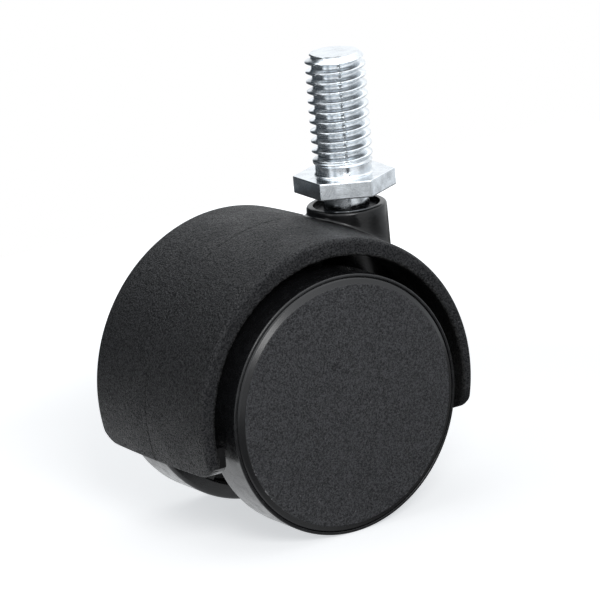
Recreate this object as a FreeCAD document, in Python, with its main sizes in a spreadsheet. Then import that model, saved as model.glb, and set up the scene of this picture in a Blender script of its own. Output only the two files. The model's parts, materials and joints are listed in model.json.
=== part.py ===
"""Twin-wheel swivel caster with a threaded stud for an office chair.

Millimetres, +Z up along the stem. The origin is on the stem's axis, in the flange's upper face, which seats
against the chair. The axle runs along Y, behind the stem at negative X, so the caster trails towards -X.
The left wheel is at +Y. Each number below is one size that can be set by itself. Everything else is an
expression of these.
"""
import FreeCAD, Part
import math
import os
import re
import Sketcher

SIZES = {
    # stem: stud, flange and pintle in one turned piece
    "thread_dia": (9.525, "outside diameter of the stud's thread, 3/8 in"),
    "thread_pitch": (1.5875, "pitch of the thread, 16 turns to the inch"),
    "stud_length": (19.4, "seat to the stud's tip"),
    "stud_chamfer": (0.95, "chamfer at the stud's tip"),
    "neck_cut": (0.31, "plain neck between flange and thread, below the thread's outside"),
    "neck_length": (1.7, "length of that neck"),
    "neck_foot": (0.45, "hollow rounding between neck and flange"),
    "flange_flats": (14.0, "flange across its flats"),
    "flange_thick": (2.7, "thickness of the flange"),
    "flange_turn": (27.7, "degrees from +X to the flange's first corner"),
    "pintle_dia": (7.3, "pin that the caster swivels on"),
    "pintle_length": (19.4, "flange's underside to the pintle's tip"),
    "pintle_chamfer": (1.2, "chamfer at the pintle's tip"),
    "groove_depth": (0.55, "depth of the pintle's ring groove"),
    "ring_thick": (0.8, "thickness of the retaining ring"),
    "ring_stand": (0.65, "how far the ring stands out of its groove"),
    "ring_opening": (40.0, "degrees left open in the retaining ring"),
    # collar and socket
    "collar_gap": (2.35, "flange's underside to the collar's rim"),
    "bush_wall": (1.3, "thickness of the stem bush"),
    "recess_step": (0.3, "how much wider the mouth of the socket is than its bore"),
    "recess_depth": (0.9, "depth of that mouth"),
    "collar_wall": (1.07, "thickness of the collar at its rim"),
    "collar_round": (0.5, "rounding of the collar's rim"),
    "boss_wall": (1.65, "thickness of the socket boss at its foot"),
    "bush_length": (11.0, "length of the stem bush"),
    "running_gap": (0.05, "radial clearance of a turning fit"),
    "seat_gap": (0.1, "end clearance of a ring or a tip on its seat"),
    "disc_thick": (1.0, "thickness of the thrust disc"),
    "socket_floor": (2.2, "material below the thrust disc"),
    # where the axle lies from the stem
    "stem_offset": (14.2, "axle to stem axis, along X"),
    "crown_stand": (0.1, "hood's highest line above the collar's rim"),
    # hood
    "hood_gap": (2.55, "wheel's tread to the inside of the hood"),
    "lip_setback": (1.4, "wheel's outer plane to the hood's lip"),
    "hood_lift": (0.75, "middle of the hood's outer curve above the axle"),
    "hood_shift": (0.15, "middle of that curve behind the axle"),
    "crown_rise": (0.5, "how much the hood stands higher in its middle"),
    "lip_wall": (2.1, "thickness of the hood at its lips"),
    "lip_round": (0.8, "rounding of a lip's outer edge"),
    "skirt_drop": (6.8, "axle to the hood's lower edge, down"),
    "skirt_corner": (3.5, "rounding of the lower corners"),
    "tail_rib_drop": (2.0, "axle to the top of the tail's inner rib, down"),
    "tail_rib_gap": (0.8, "wheel to the tail's inner rib"),
    "web_thick": (3.2, "plate between the wheels"),
    "axle_boss_wall": (3.0, "thickness of the boss that holds the axle"),
    "stiffener_thick": (1.6, "thickness of a stiffening rib"),
    "stiffener_width": (11.0, "stiffening ribs across both sides of the web"),
    # wheels
    "wheel_dia": (41.3, "wheel over its tread, 1 5/8 in"),
    "tread_width": (7.8, "width of a wheel at its tread"),
    "wheel_spread": (18.4, "between the wheels' inner planes"),
    "wheel_play": (0.3, "end play of a wheel on the axle"),
    "rim_wall": (2.4, "thickness of the rim"),
    "rim_round": (0.5, "rounding of the tread's edges"),
    "rim_lip_wall": (0.5, "thin lip around the cover"),
    "hub_wall": (2.15, "thickness of the wheel's hub"),
    "wheel_web_thick": (1.6, "disc between hub and rim"),
    "wheel_web_depth": (2.4, "outer edge of the tread to that disc"),
    "spoke_thick": (1.5, "thickness of a rib behind the disc"),
    "spoke_setback": (1.0, "inner plane to the ribs"),
    # covers
    "cover_seat": (0.9, "depth of the cover's seat in the rim"),
    "cover_thick": (1.5, "thickness of the cover"),
    "cover_fit": (0.05, "gap around the cover"),
    "cover_bevel": (0.9, "width of the cover's bevelled border"),
    "cover_skirt": (1.2, "thickness of the cover's snap skirt"),
    "cover_skirt_depth": (1.2, "length of that skirt"),
    # axle
    "axle_dia": (6.0, "axle"),
    "axle_chamfer": (0.4, "chamfer at the axle's ends"),
    "axle_reach": (0.5, "axle's end past the lock washer"),
    "washer_width": (1.8, "axle to the lock washer's edge"),
    "washer_thick": (0.5, "thickness of the lock washer"),
    "washer_slot": (0.7, "width of a slot between the washer's teeth"),
}

CREST_FACES = 36  # the stud's blank is drawn as this many arcs, so that each thread crest is short faces
STIFFENERS = 3
SPOKES = 6
TEETH = 6
SIDES = {"left": 1, "right": -1}

# lengths that follow from the sheet
THREAD_R = "(thread_dia / 2)"
THREAD_DEPTH = "(0.6134 * thread_pitch)"
ROOT_FLAT = "(thread_pitch / 6)"
NECK_R = f"({THREAD_R} - neck_cut)"
PINTLE_R = "(pintle_dia / 2)"
PIN_HOLE_R = f"({PINTLE_R} + running_gap)"
SOCKET_R = f"({PIN_HOLE_R} + bush_wall)"
RECESS_R = f"({SOCKET_R} + recess_step)"
COLLAR_R = f"({RECESS_R} + collar_wall)"
AXLE_R = "(axle_dia / 2)"
AXLE_HOLE_R = f"({AXLE_R} + running_gap)"
HUB_R = f"({AXLE_HOLE_R} + hub_wall)"
WHEEL_R = "(wheel_dia / 2)"
HOOD_INNER_R = f"({WHEEL_R} + hood_gap)"
HOOD_R = f"({HOOD_INNER_R} + lip_wall)"
HOOD_TOP_R = f"({HOOD_R} + crown_rise)"
INNER_PLANE = "(wheel_spread / 2)"
RIM_FACE = f"({INNER_PLANE} + tread_width)"
HOOD_HALF = f"({RIM_FACE} - lip_setback)"
RIM_INNER_R = f"({WHEEL_R} - rim_wall)"
DISC_OUTER = f"({RIM_FACE} - wheel_web_depth)"
DISC_INNER = f"({DISC_OUTER} - wheel_web_thick)"
SEAT_R = f"({WHEEL_R} - rim_lip_wall)"
COVER_BACK = f"({RIM_FACE} - cover_seat)"
BOSS_HALF = f"({INNER_PLANE} - wheel_play)"
WASHER_INNER = f"({DISC_OUTER} + seat_gap)"
WASHER_OUTER = f"({WASHER_INNER} + washer_thick)"
AXLE_HALF = f"({WASHER_OUTER} + axle_reach)"
# heights on the stem's axis, in the part's frame
COLLAR_TOP = "(-flange_thick - collar_gap)"
BUSH_TOP = f"({COLLAR_TOP} - recess_depth)"
BUSH_END = f"({BUSH_TOP} - bush_length)"
GROOVE_TOP = f"({BUSH_END} - seat_gap / 2)"
GROOVE_END = f"({GROOVE_TOP} - ring_thick - seat_gap)"
PINTLE_TIP = "(-flange_thick - pintle_length)"
DISC_TOP = f"({PINTLE_TIP} - seat_gap)"
SOCKET_END = f"({DISC_TOP} - disc_thick)"
BOSS_END = f"({SOCKET_END} - socket_floor)"
AXLE_HEIGHT = f"({COLLAR_TOP} + crown_stand - hood_lift - {HOOD_TOP_R})"
ON_AXLE = ("-stem_offset", "0", AXLE_HEIGHT)

doc = FreeCAD.newDocument("caster")


def make_sheet():
    """Write the sizes into a spreadsheet, one alias each."""
    sheet = doc.addObject("Spreadsheet::Sheet", "Sizes")
    for row, (alias, (value, meaning)) in enumerate(SIZES.items(), start=1):
        sheet.set(f"A{row}", meaning)
        sheet.set(f"B{row}", str(value))
        sheet.setAlias(f"B{row}", alias)
    doc.recompute()


def sized(text):
    """Point every alias in an expression at the sheet. An alias is words joined by underscores."""
    return re.sub(r"\b[a-z]+(?:_[a-z]+)+\b", r"Sizes.\g<0>", text)


def make_body(label, place=("0", "0", "0")):
    """Start a sub-part, with its own origin placed by three expressions."""
    body = doc.addObject("PartDesign::Body", label)
    body.Label = label
    for axis, text in zip("xyz", place):
        body.setExpression(f"Placement.Base.{axis}", sized(text))
    return body


def origin_part(body, role):
    """A plane or axis of the body's own origin."""
    return [part for part in body.Origin.OriginFeatures if part.Role == role][0]


def make_sketch(body, name, plane, lift="0"):
    """A sketch on one of the body's origin planes, lifted off it along the plane's normal."""
    sketch = body.newObject("Sketcher::SketchObject", name)
    sketch.AttachmentSupport = [(origin_part(body, plane), "")]
    sketch.MapMode = "FlatFace"
    sketch.setExpression("AttachmentOffset.Base.z", sized(lift))
    return sketch


def middle_of_arc(start, end, radius, side):
    """A point half way along the arc, which bulges to the left of start-end for side 1."""
    chord = end - start
    rise = radius - math.sqrt(max(radius ** 2 - (chord.Length / 2) ** 2, 0))
    across = FreeCAD.Vector(-chord.y, chord.x, 0).normalize()
    return (start + end) / 2 + across * rise * side


def draw_outline(sketch, corners):
    """Draw a closed outline through corners, each (across, up) as expressions.

    A corner with (across, up, radius, side) starts an arc instead of a straight edge. Every corner is held by
    its two distances from the sketch's origin, and every arc also by its radius.
    """
    def value(text):
        return float(sketch.evalExpression(sized(text)))

    def hold(kind, edge, end, text):
        number = value(text)
        row = sketch.addConstraint(Sketcher.Constraint(kind, -1, 1, edge, end, number))
        sketch.setExpression(f"Constraints[{row}]", sized(text))

    spots = [FreeCAD.Vector(value(corner[0]), value(corner[1]), 0) for corner in corners]
    starts = []
    for number, corner in enumerate(corners):
        start = spots[number]
        end = spots[(number + 1) % len(spots)]
        if len(corner) == 2:
            sketch.addGeometry(Part.LineSegment(start, end), False)
            starts.append(1)
            continue
        middle = middle_of_arc(start, end, value(corner[2]), corner[3])
        sketch.addGeometry(Part.Arc(start, middle, end), False)
        row = sketch.addConstraint(Sketcher.Constraint("Radius", number, value(corner[2])))
        sketch.setExpression(f"Constraints[{row}]", sized(corner[2]))
        first = sketch.getPoint(number, 1)
        starts.append(1 if first.distanceToPoint(start) < first.distanceToPoint(end) else 2)
    for number, corner in enumerate(corners):
        after = (number + 1) % len(corners)
        sketch.addConstraint(Sketcher.Constraint("Coincident", number, 3 - starts[number], after, starts[after]))
        hold("DistanceX", number, starts[number], corner[0])
        hold("DistanceY", number, starts[number], corner[1])


def draw_circle(sketch, diameter, across="0", up="0"):
    """Draw a circle held by its diameter and the place of its centre."""
    size = float(sketch.evalExpression(sized(diameter)))
    edge = sketch.addGeometry(Part.Circle(FreeCAD.Vector(0, 0, 0), FreeCAD.Vector(0, 0, 1), size / 2), False)
    row = sketch.addConstraint(Sketcher.Constraint("Diameter", edge, size))
    sketch.setExpression(f"Constraints[{row}]", sized(diameter))
    for kind, text in (("DistanceX", across), ("DistanceY", up)):
        number = float(sketch.evalExpression(sized(text)))
        row = sketch.addConstraint(Sketcher.Constraint(kind, -1, 1, edge, 3, number))
        sketch.setExpression(f"Constraints[{row}]", sized(text))


def turn_profile(body, name, plane, corners, feature="PartDesign::Revolution", angle="360", axis_across=None,
                 lift="0"):
    """Turn an outline about the sketch's vertical axis, or about a line parallel to it."""
    sketch = make_sketch(body, f"{name}_outline", plane, lift)
    draw_outline(sketch, corners)
    axis = "V_Axis"
    if axis_across:
        place = float(sketch.evalExpression(sized(axis_across)))
        line = Part.LineSegment(FreeCAD.Vector(place, 0, 0), FreeCAD.Vector(place, 1, 0))
        edge = sketch.addGeometry(line, True)
        for kind, end, text in (("DistanceX", 1, axis_across), ("DistanceX", 2, axis_across),
                                ("DistanceY", 1, "0"), ("DistanceY", 2, "1")):
            number = float(sketch.evalExpression(sized(text)))
            row = sketch.addConstraint(Sketcher.Constraint(kind, -1, 1, edge, end, number))
            sketch.setExpression(f"Constraints[{row}]", sized(text))
        axis = "Axis0"
    turned = body.newObject(feature, name)
    turned.Profile = sketch
    turned.ReferenceAxis = (sketch, [axis])
    turned.setExpression("Angle", sized(angle))
    return turned


def push(body, name, sketch, length, feature="PartDesign::Pad", midplane=False, reverse=False):
    """Pad or pocket a sketch by a length."""
    made = body.newObject(feature, name)
    made.Profile = sketch
    made.setExpression("Length", sized(length))
    made.Midplane = midplane
    made.Reversed = reverse
    return made


def repeat_around(body, name, feature, axis, count, angle):
    """Repeat a feature about one of the body's axes."""
    doc.recompute()
    pattern = body.newObject("PartDesign::PolarPattern", name)
    pattern.Originals = [feature]
    pattern.Axis = (origin_part(body, axis), [""])
    pattern.Angle = angle
    pattern.Occurrences = count
    body.Tip = pattern


def lathe_piece(label, plane, corners, place=("0", "0", "0"), angle="360"):
    """A piece that is one turned outline."""
    body = make_body(label, place)
    turn_profile(body, f"{label}_turned", plane, corners, angle=angle)
    return body


def make_stem():
    """Stud with a cut thread, six-sided flange, neck, and pintle with its ring groove."""
    body = make_body("stem")
    blank = make_sketch(body, "stud_blank", "XY_Plane")
    radius = SIZES["thread_dia"][0] / 2
    step = 2 * math.pi / CREST_FACES
    circle = Part.Circle(FreeCAD.Vector(0, 0, 0), FreeCAD.Vector(0, 0, 1), radius)
    for number in range(CREST_FACES):
        blank.addGeometry(Part.ArcOfCircle(circle, number * step, (number + 1) * step), False)
    for number in range(CREST_FACES):
        blank.addConstraint(Sketcher.Constraint("Coincident", number, 3, -1, 1))
        blank.addConstraint(Sketcher.Constraint("Coincident", number, 2, (number + 1) % CREST_FACES, 1))
    for number in range(CREST_FACES - 1):
        blank.addConstraint(Sketcher.Constraint("Angle", number, step))
    blank.addConstraint(Sketcher.Constraint("PointOnObject", 0, 1, -1))
    row = blank.addConstraint(Sketcher.Constraint("Radius", 0, radius))
    blank.setExpression(f"Constraints[{row}]", sized("thread_dia / 2"))
    stud = push(body, "stud", blank, "stud_length")
    stud.Refine = False

    top = turn_profile(body, "stud_tip", "XZ_Plane", [
        (f"{THREAD_R} - stud_chamfer", "stud_length"),
        (THREAD_R, "stud_length - stud_chamfer"),
        (f"{THREAD_R} + stud_chamfer", "stud_length - stud_chamfer"),
        (f"{THREAD_R} + stud_chamfer", "stud_length + stud_chamfer"),
        (f"{THREAD_R} - stud_chamfer", "stud_length + stud_chamfer"),
    ], feature="PartDesign::Groove")
    top.Refine = False
    neck = turn_profile(body, "neck", "XZ_Plane", [
        (NECK_R, "0"),
        (f"{THREAD_R} + thread_pitch", "0"),
        (f"{THREAD_R} + thread_pitch", "neck_length + neck_cut + thread_pitch"),
        (NECK_R, "neck_length"),
    ], feature="PartDesign::Groove")
    neck.Refine = False
    cut_thread(body)

    flange = make_sketch(body, "flange_outline", "XY_Plane")
    corner_r = "(flange_flats / 2 / cos(30))"
    angles = [f"(flange_turn + {60 * number})" for number in range(6)]
    draw_outline(flange, [(f"{corner_r} * cos({angle})", f"{corner_r} * sin({angle})") for angle in angles])
    push(body, "flange", flange, "flange_thick", reverse=True).Refine = False
    groove_r = f"({PINTLE_R} - groove_depth)"
    turn_profile(body, "pintle", "XZ_Plane", [
        ("0", "neck_foot"),
        ("0", PINTLE_TIP),
        (f"{PINTLE_R} - pintle_chamfer", PINTLE_TIP),
        (PINTLE_R, f"{PINTLE_TIP} + pintle_chamfer"),
        (PINTLE_R, GROOVE_END),
        (groove_r, GROOVE_END),
        (groove_r, GROOVE_TOP),
        (PINTLE_R, GROOVE_TOP),
        (PINTLE_R, "-flange_thick / 2"),
        (f"{NECK_R} + neck_foot", "-flange_thick / 2"),
        (f"{NECK_R} + neck_foot", "0", "neck_foot", 1),
        (NECK_R, "neck_foot"),
    ]).Refine = False


def cut_thread(body):
    """Carry the groove's section along the stud's helix, from inside the neck to past the tip."""
    section = make_sketch(body, "groove_section", "XZ_Plane")
    root = f"({THREAD_R} - {THREAD_DEPTH})"
    mouth = f"({THREAD_R} + {THREAD_DEPTH} / 2)"
    wide = f"({ROOT_FLAT} / 2 + ({mouth} - {root}) * tan(30))"
    draw_outline(section, [
        (root, f"neck_length - {ROOT_FLAT} / 2"),
        (mouth, f"neck_length - {wide}"),
        (mouth, f"neck_length + {wide}"),
        (root, f"neck_length + {ROOT_FLAT} / 2"),
    ])
    helix = body.newObject("PartDesign::SubtractiveHelix", "thread")
    helix.Profile = section
    helix.ReferenceAxis = (section, ["V_Axis"])
    helix.Mode = 0
    helix.setExpression("Pitch", sized("thread_pitch"))
    helix.setExpression("Height", sized("stud_length - neck_length + thread_pitch"))
    helix.Refine = False


def make_housing():
    """Hood, web, axle boss, stiffeners, socket boss with its collar, and tail rib, one moulding."""
    body = make_body("housing", ON_AXLE)
    half = HOOD_HALF
    inner_round = "(lip_round / 2)"
    crown_r = f"(({half} - lip_round)^2 + crown_rise^2) / (2 * crown_rise)"

    def out(radius):
        return f"{radius} - hood_shift"

    blank_r = out(f"{HOOD_INNER_R} - lip_wall")
    turn_profile(body, "hood", "XY_Plane", [
        (blank_r, f"-{half}"),
        (out(f"{HOOD_R} - lip_round"), f"-{half}", "lip_round", -1),
        (out(HOOD_R), f"-{half} + lip_round", crown_r, -1),
        (out(HOOD_R), f"{half} - lip_round", "lip_round", -1),
        (out(f"{HOOD_R} - lip_round"), half),
        (blank_r, half),
    ], axis_across="-hood_shift", lift="hood_lift")
    hollow_r = f"{HOOD_INNER_R} - 2 * lip_wall"
    turn_profile(body, "hood_hollow", "XY_Plane", [
        (hollow_r, f"-{half} - {inner_round}"),
        (f"{HOOD_INNER_R} + {inner_round}", f"-{half} - {inner_round}"),
        (f"{HOOD_INNER_R} + {inner_round}", f"-{half}", inner_round, 1),
        (HOOD_INNER_R, f"-{half} + {inner_round}"),
        (HOOD_INNER_R, f"{half} - {inner_round}", inner_round, 1),
        (f"{HOOD_INNER_R} + {inner_round}", half),
        (f"{HOOD_INNER_R} + {inner_round}", f"{half} + {inner_round}"),
        (hollow_r, f"{half} + {inner_round}"),
    ], feature="PartDesign::Groove")
    web = make_sketch(body, "web_outline", "XZ_Plane")
    draw_circle(web, f"2 * {HOOD_INNER_R} + lip_wall")
    push(body, "web", web, "web_thick", midplane=True)
    axle_boss = make_sketch(body, "axle_boss_outline", "XZ_Plane")
    draw_circle(axle_boss, "axle_dia + 2 * axle_boss_wall")
    push(body, "axle_boss", axle_boss, f"2 * {BOSS_HALF}", midplane=True)

    stiffener = make_sketch(body, "stiffener_outline", "XZ_Plane")
    rib_end = f"-({HOOD_INNER_R} + lip_wall / 2)"
    draw_outline(stiffener, [
        (rib_end, "-stiffener_thick / 2"),
        ("-axle_dia", "-stiffener_thick / 2"),
        ("-axle_dia", "stiffener_thick / 2"),
        (rib_end, "stiffener_thick / 2"),
    ])
    first = push(body, "stiffener", stiffener, "stiffener_width", midplane=True)
    repeat_around(body, "stiffeners", first, "Y_Axis", STIFFENERS, 90)

    tail = make_sketch(body, "tail_rib_outline", "XZ_Plane")
    rib_face = f"-({WHEEL_R} + tail_rib_gap)"
    draw_outline(tail, [
        (rib_face, "-tail_rib_drop"),
        (f"-({HOOD_INNER_R} + lip_wall / 4)", "-tail_rib_drop"),
        (f"-({HOOD_INNER_R} + lip_wall / 4)", "-skirt_drop - lip_wall"),
        (rib_face, "-skirt_drop - lip_wall"),
    ])
    push(body, "tail_rib", tail, f"2 * {HOOD_HALF}", midplane=True)
    add_socket(body)
    trim_skirt(body)
    bore = make_sketch(body, "axle_bore_outline", "XZ_Plane")
    draw_circle(bore, "axle_dia")
    push(body, "axle_bore", bore, f"2 * {BOSS_HALF} + wheel_play", "PartDesign::Pocket", midplane=True)


def add_socket(body):
    """Add the boss around the stem's axis, and hollow it for pintle, bush, ring and thrust disc."""
    def up(height):
        return f"{height} - {AXLE_HEIGHT}"

    def out(radius):
        return f"stem_offset + {radius}"

    turn_profile(body, "socket_boss", "XZ_Plane", [
        ("stem_offset", up(BOSS_END)),
        (out(f"{SOCKET_R} + boss_wall"), up(BOSS_END)),
        (out(COLLAR_R), up(f"{COLLAR_TOP} - collar_round"), "collar_round", -1),
        (out(f"{COLLAR_R} - collar_round"), up(COLLAR_TOP)),
        ("stem_offset", up(COLLAR_TOP)),
    ], axis_across="stem_offset")
    turn_profile(body, "socket", "XZ_Plane", [
        ("stem_offset", up(SOCKET_END)),
        (out(SOCKET_R), up(SOCKET_END)),
        (out(SOCKET_R), up(BUSH_TOP)),
        (out(RECESS_R), up(BUSH_TOP)),
        (out(RECESS_R), up(f"{COLLAR_TOP} + collar_gap")),
        ("stem_offset", up(f"{COLLAR_TOP} + collar_gap")),
    ], feature="PartDesign::Groove", axis_across="stem_offset")


def trim_skirt(body):
    """Cut the housing off level below the axle, with rounded lower corners seen from behind."""
    sketch = make_sketch(body, "skirt_trim", "YZ_Plane")
    half = HOOD_HALF
    wide = f"({half} + skirt_corner)"
    low = f"-({HOOD_TOP_R} + skirt_corner)"
    draw_outline(sketch, [
        (f"-{wide}", low),
        (wide, low),
        (wide, "-skirt_drop + skirt_corner"),
        (half, "-skirt_drop + skirt_corner", "skirt_corner", 1),
        (f"{half} - skirt_corner", "-skirt_drop"),
        (f"-{half} + skirt_corner", "-skirt_drop", "skirt_corner", 1),
        (f"-{half}", "-skirt_drop + skirt_corner"),
        (f"-{wide}", "-skirt_drop + skirt_corner"),
    ])
    push(body, "skirt_cut", sketch, f"2 * ({HOOD_TOP_R} + lip_wall)", "PartDesign::Pocket", midplane=True)


def make_wheel(label, side):
    """Wheel moulding: rim with the cover's seat, disc, hub, and ribs on the inner side."""
    body = make_body(label, ON_AXLE)

    def across(width):
        return f"{side} * {width}"

    turn_profile(body, f"{label}_turned", "XY_Plane", [
        (AXLE_HOLE_R, across(INNER_PLANE)),
        (HUB_R, across(INNER_PLANE)),
        (HUB_R, across(DISC_INNER)),
        (RIM_INNER_R, across(DISC_INNER)),
        (RIM_INNER_R, across(INNER_PLANE)),
        (f"{WHEEL_R} - rim_round", across(INNER_PLANE), "rim_round", -side),
        (WHEEL_R, across(f"({INNER_PLANE} + rim_round)")),
        (WHEEL_R, across(f"({RIM_FACE} - rim_lip_wall / 2)"), "rim_lip_wall / 2", -side),
        (f"{WHEEL_R} - rim_lip_wall / 2", across(RIM_FACE)),
        (SEAT_R, across(RIM_FACE)),
        (SEAT_R, across(COVER_BACK)),
        (RIM_INNER_R, across(COVER_BACK)),
        (RIM_INNER_R, across(DISC_OUTER)),
        (AXLE_HOLE_R, across(DISC_OUTER)),
    ])
    spoke = make_sketch(body, f"{label}_rib_outline", "XZ_Plane", lift=f"{-side} * {DISC_INNER}")
    draw_outline(spoke, [
        (f"{HUB_R} - hub_wall / 3", "-spoke_thick / 2"),
        (f"{RIM_INNER_R} + rim_wall / 4", "-spoke_thick / 2"),
        (f"{RIM_INNER_R} + rim_wall / 4", "spoke_thick / 2"),
        (f"{HUB_R} - hub_wall / 3", "spoke_thick / 2"),
    ])
    depth = f"{DISC_INNER} - {INNER_PLANE} - spoke_setback"
    rib = push(body, f"{label}_rib", spoke, depth, reverse=side < 0)
    repeat_around(body, f"{label}_ribs", rib, "Y_Axis", SPOKES, 360)


def make_cover(label, side):
    """Face disc with a bevelled border and a snap skirt inside the rim."""
    edge = f"({SEAT_R} - cover_fit)"
    face = f"({COVER_BACK} + cover_thick)"
    skirt_end = f"({COVER_BACK} - cover_skirt_depth)"

    def across(width):
        return f"{side} * {width}"

    lathe_piece(label, "XY_Plane", [
        ("0", across(COVER_BACK)),
        (f"{RIM_INNER_R} - cover_skirt", across(COVER_BACK)),
        (f"{RIM_INNER_R} - cover_skirt", across(skirt_end)),
        (RIM_INNER_R, across(skirt_end)),
        (RIM_INNER_R, across(COVER_BACK)),
        (edge, across(COVER_BACK)),
        (edge, across(f"({COVER_BACK} + cover_thick / 2)")),
        (f"{edge} - cover_bevel", across(face)),
        ("0", across(face)),
    ], ON_AXLE)


def make_lock_washer(label, side):
    """Push-on washer, flat, with slots between the teeth that grip the axle."""
    body = make_body(label, ON_AXLE)
    turn_profile(body, f"{label}_disc", "XY_Plane", [
        (AXLE_R, f"{side} * {WASHER_INNER}"),
        (f"{AXLE_R} + washer_width", f"{side} * {WASHER_INNER}"),
        (f"{AXLE_R} + washer_width", f"{side} * {WASHER_OUTER}"),
        (AXLE_R, f"{side} * {WASHER_OUTER}"),
    ])
    slot = make_sketch(body, f"{label}_slot_outline", "XZ_Plane", lift=f"{-side} * ({WASHER_INNER} - seat_gap)")
    slot_start = f"({AXLE_R} / 2)"
    slot_end = f"({AXLE_R} + washer_width / 2)"
    draw_outline(slot, [
        (slot_start, "-washer_slot / 2"),
        (slot_end, "-washer_slot / 2"),
        (slot_end, "washer_slot / 2"),
        (slot_start, "washer_slot / 2"),
    ])
    cut = push(body, f"{label}_slot", slot, "washer_thick + 2 * seat_gap", "PartDesign::Pocket",
               reverse=side < 0)
    repeat_around(body, f"{label}_slots", cut, "Y_Axis", TEETH, 360)


def make_small_turned_pieces():
    """Bush, retaining ring, thrust disc and axle."""
    lathe_piece("stem_bush", "XZ_Plane", [
        (PIN_HOLE_R, BUSH_END),
        (SOCKET_R, BUSH_END),
        (SOCKET_R, BUSH_TOP),
        (PIN_HOLE_R, BUSH_TOP),
    ])
    lathe_piece("stem_retaining_ring", "XZ_Plane", [
        (f"{PINTLE_R} - groove_depth", f"{GROOVE_END} + seat_gap / 2"),
        (f"{PINTLE_R} + ring_stand", f"{GROOVE_END} + seat_gap / 2"),
        (f"{PINTLE_R} + ring_stand", f"{GROOVE_TOP} - seat_gap / 2"),
        (f"{PINTLE_R} - groove_depth", f"{GROOVE_TOP} - seat_gap / 2"),
    ], angle="360 - ring_opening")
    lathe_piece("thrust_disc", "XZ_Plane", [
        ("0", SOCKET_END),
        (SOCKET_R, SOCKET_END),
        (SOCKET_R, DISC_TOP),
        ("0", DISC_TOP),
    ])
    lathe_piece("axle", "XY_Plane", [
        ("0", f"-{AXLE_HALF}"),
        (f"{AXLE_R} - axle_chamfer", f"-{AXLE_HALF}"),
        (AXLE_R, f"-{AXLE_HALF} + axle_chamfer"),
        (AXLE_R, f"{AXLE_HALF} - axle_chamfer"),
        (f"{AXLE_R} - axle_chamfer", AXLE_HALF),
        ("0", AXLE_HALF),
    ], ON_AXLE)


def check_document():
    """Stop if any object failed, or a sub-part has no sound shape."""
    failed = [item.Name for item in doc.Objects if {"Invalid", "Error"} & set(item.State)]
    if failed:
        raise RuntimeError(f"failed objects: {failed}")
    for body in doc.findObjects("PartDesign::Body"):
        if body.Shape.isNull() or not body.Shape.isValid() or len(body.Shape.Solids) != 1:
            raise RuntimeError(f"{body.Label} has no sound solid")


make_sheet()
make_stem()
make_housing()
make_small_turned_pieces()
for side_name, side_sign in SIDES.items():
    make_wheel(f"wheel_{side_name}", side_sign)
    make_cover(f"wheel_cover_{side_name}", side_sign)
    make_lock_washer(f"axle_lock_washer_{side_name}", side_sign)
doc.recompute()
check_document()
os.makedirs("parts", exist_ok=True)
for body in doc.findObjects("PartDesign::Body"):
    body.Shape.exportStep(f"parts/{body.Label}.step")
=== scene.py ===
"""Twin-wheel swivel caster with a threaded stud, built round its packed frame.

Each operator makes one piece of the caster, in metres, with the stem's axis on Z and the axle
along Y. The file is laid out as an add-on and run as a script.
"""

import json
import math

import bmesh
import bpy
import numpy as np
from bpy.props import FloatProperty, FloatVectorProperty, IntProperty, PointerProperty
from mathutils import Matrix, Vector


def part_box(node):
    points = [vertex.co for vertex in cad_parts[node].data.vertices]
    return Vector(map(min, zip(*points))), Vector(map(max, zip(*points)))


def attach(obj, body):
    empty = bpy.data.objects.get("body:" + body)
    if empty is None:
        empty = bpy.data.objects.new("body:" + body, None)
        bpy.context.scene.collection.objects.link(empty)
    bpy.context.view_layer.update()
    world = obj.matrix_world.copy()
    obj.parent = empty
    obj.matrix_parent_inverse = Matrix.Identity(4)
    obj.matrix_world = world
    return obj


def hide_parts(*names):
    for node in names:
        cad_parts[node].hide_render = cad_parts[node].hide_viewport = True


bl_info = {
    "name": "Twin-Wheel Swivel Caster",
    "version": (1, 0, 0),
    "blender": (4, 5, 0),
    "location": "3D View > Sidebar > Caster",
    "description": "Builds a twin-wheel swivel caster piece by piece, with its finishes and its stage",
    "category": "Add Mesh",
}

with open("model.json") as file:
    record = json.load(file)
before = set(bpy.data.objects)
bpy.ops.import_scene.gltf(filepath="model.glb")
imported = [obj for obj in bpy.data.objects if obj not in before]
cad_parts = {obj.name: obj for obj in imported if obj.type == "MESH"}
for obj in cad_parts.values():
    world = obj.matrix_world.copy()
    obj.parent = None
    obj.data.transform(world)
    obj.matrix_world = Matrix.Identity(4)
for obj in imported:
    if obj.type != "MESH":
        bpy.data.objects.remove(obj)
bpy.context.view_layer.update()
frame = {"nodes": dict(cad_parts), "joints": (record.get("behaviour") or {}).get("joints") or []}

MM = 0.001
DOUBLES = 0.0001 * MM
SIDES = {"left": 1, "right": -1}

# places that the packed frame gives
AXLE_X, _, AXLE_Z = next(joint["pos_m"] for joint in frame["joints"] if joint["name"] == "roll_right")
HOUSING_LOW, HOUSING_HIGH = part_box("housing")
WHEEL_LOW, WHEEL_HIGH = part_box("wheel_left")
COVER_LOW, COVER_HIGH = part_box("wheel_cover_left")
STEM_LOW, STEM_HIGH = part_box("stem")
_, BUSH_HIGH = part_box("stem_bush")
DISC_LOW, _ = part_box("thrust_disc")
WHEEL_R = (WHEEL_HIGH.z - WHEEL_LOW.z) / 2
HOOD_HALF = HOUSING_HIGH.y
SKIRT_Z = HOUSING_LOW.z
RECESS_DEPTH = 0.9 * MM
COLLAR_TOP = BUSH_HIGH.z + RECESS_DEPTH
FLOOR_Z = WHEEL_LOW.z
SOCKET_CUT_R = BUSH_HIGH.x + 0.8 * MM

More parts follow.
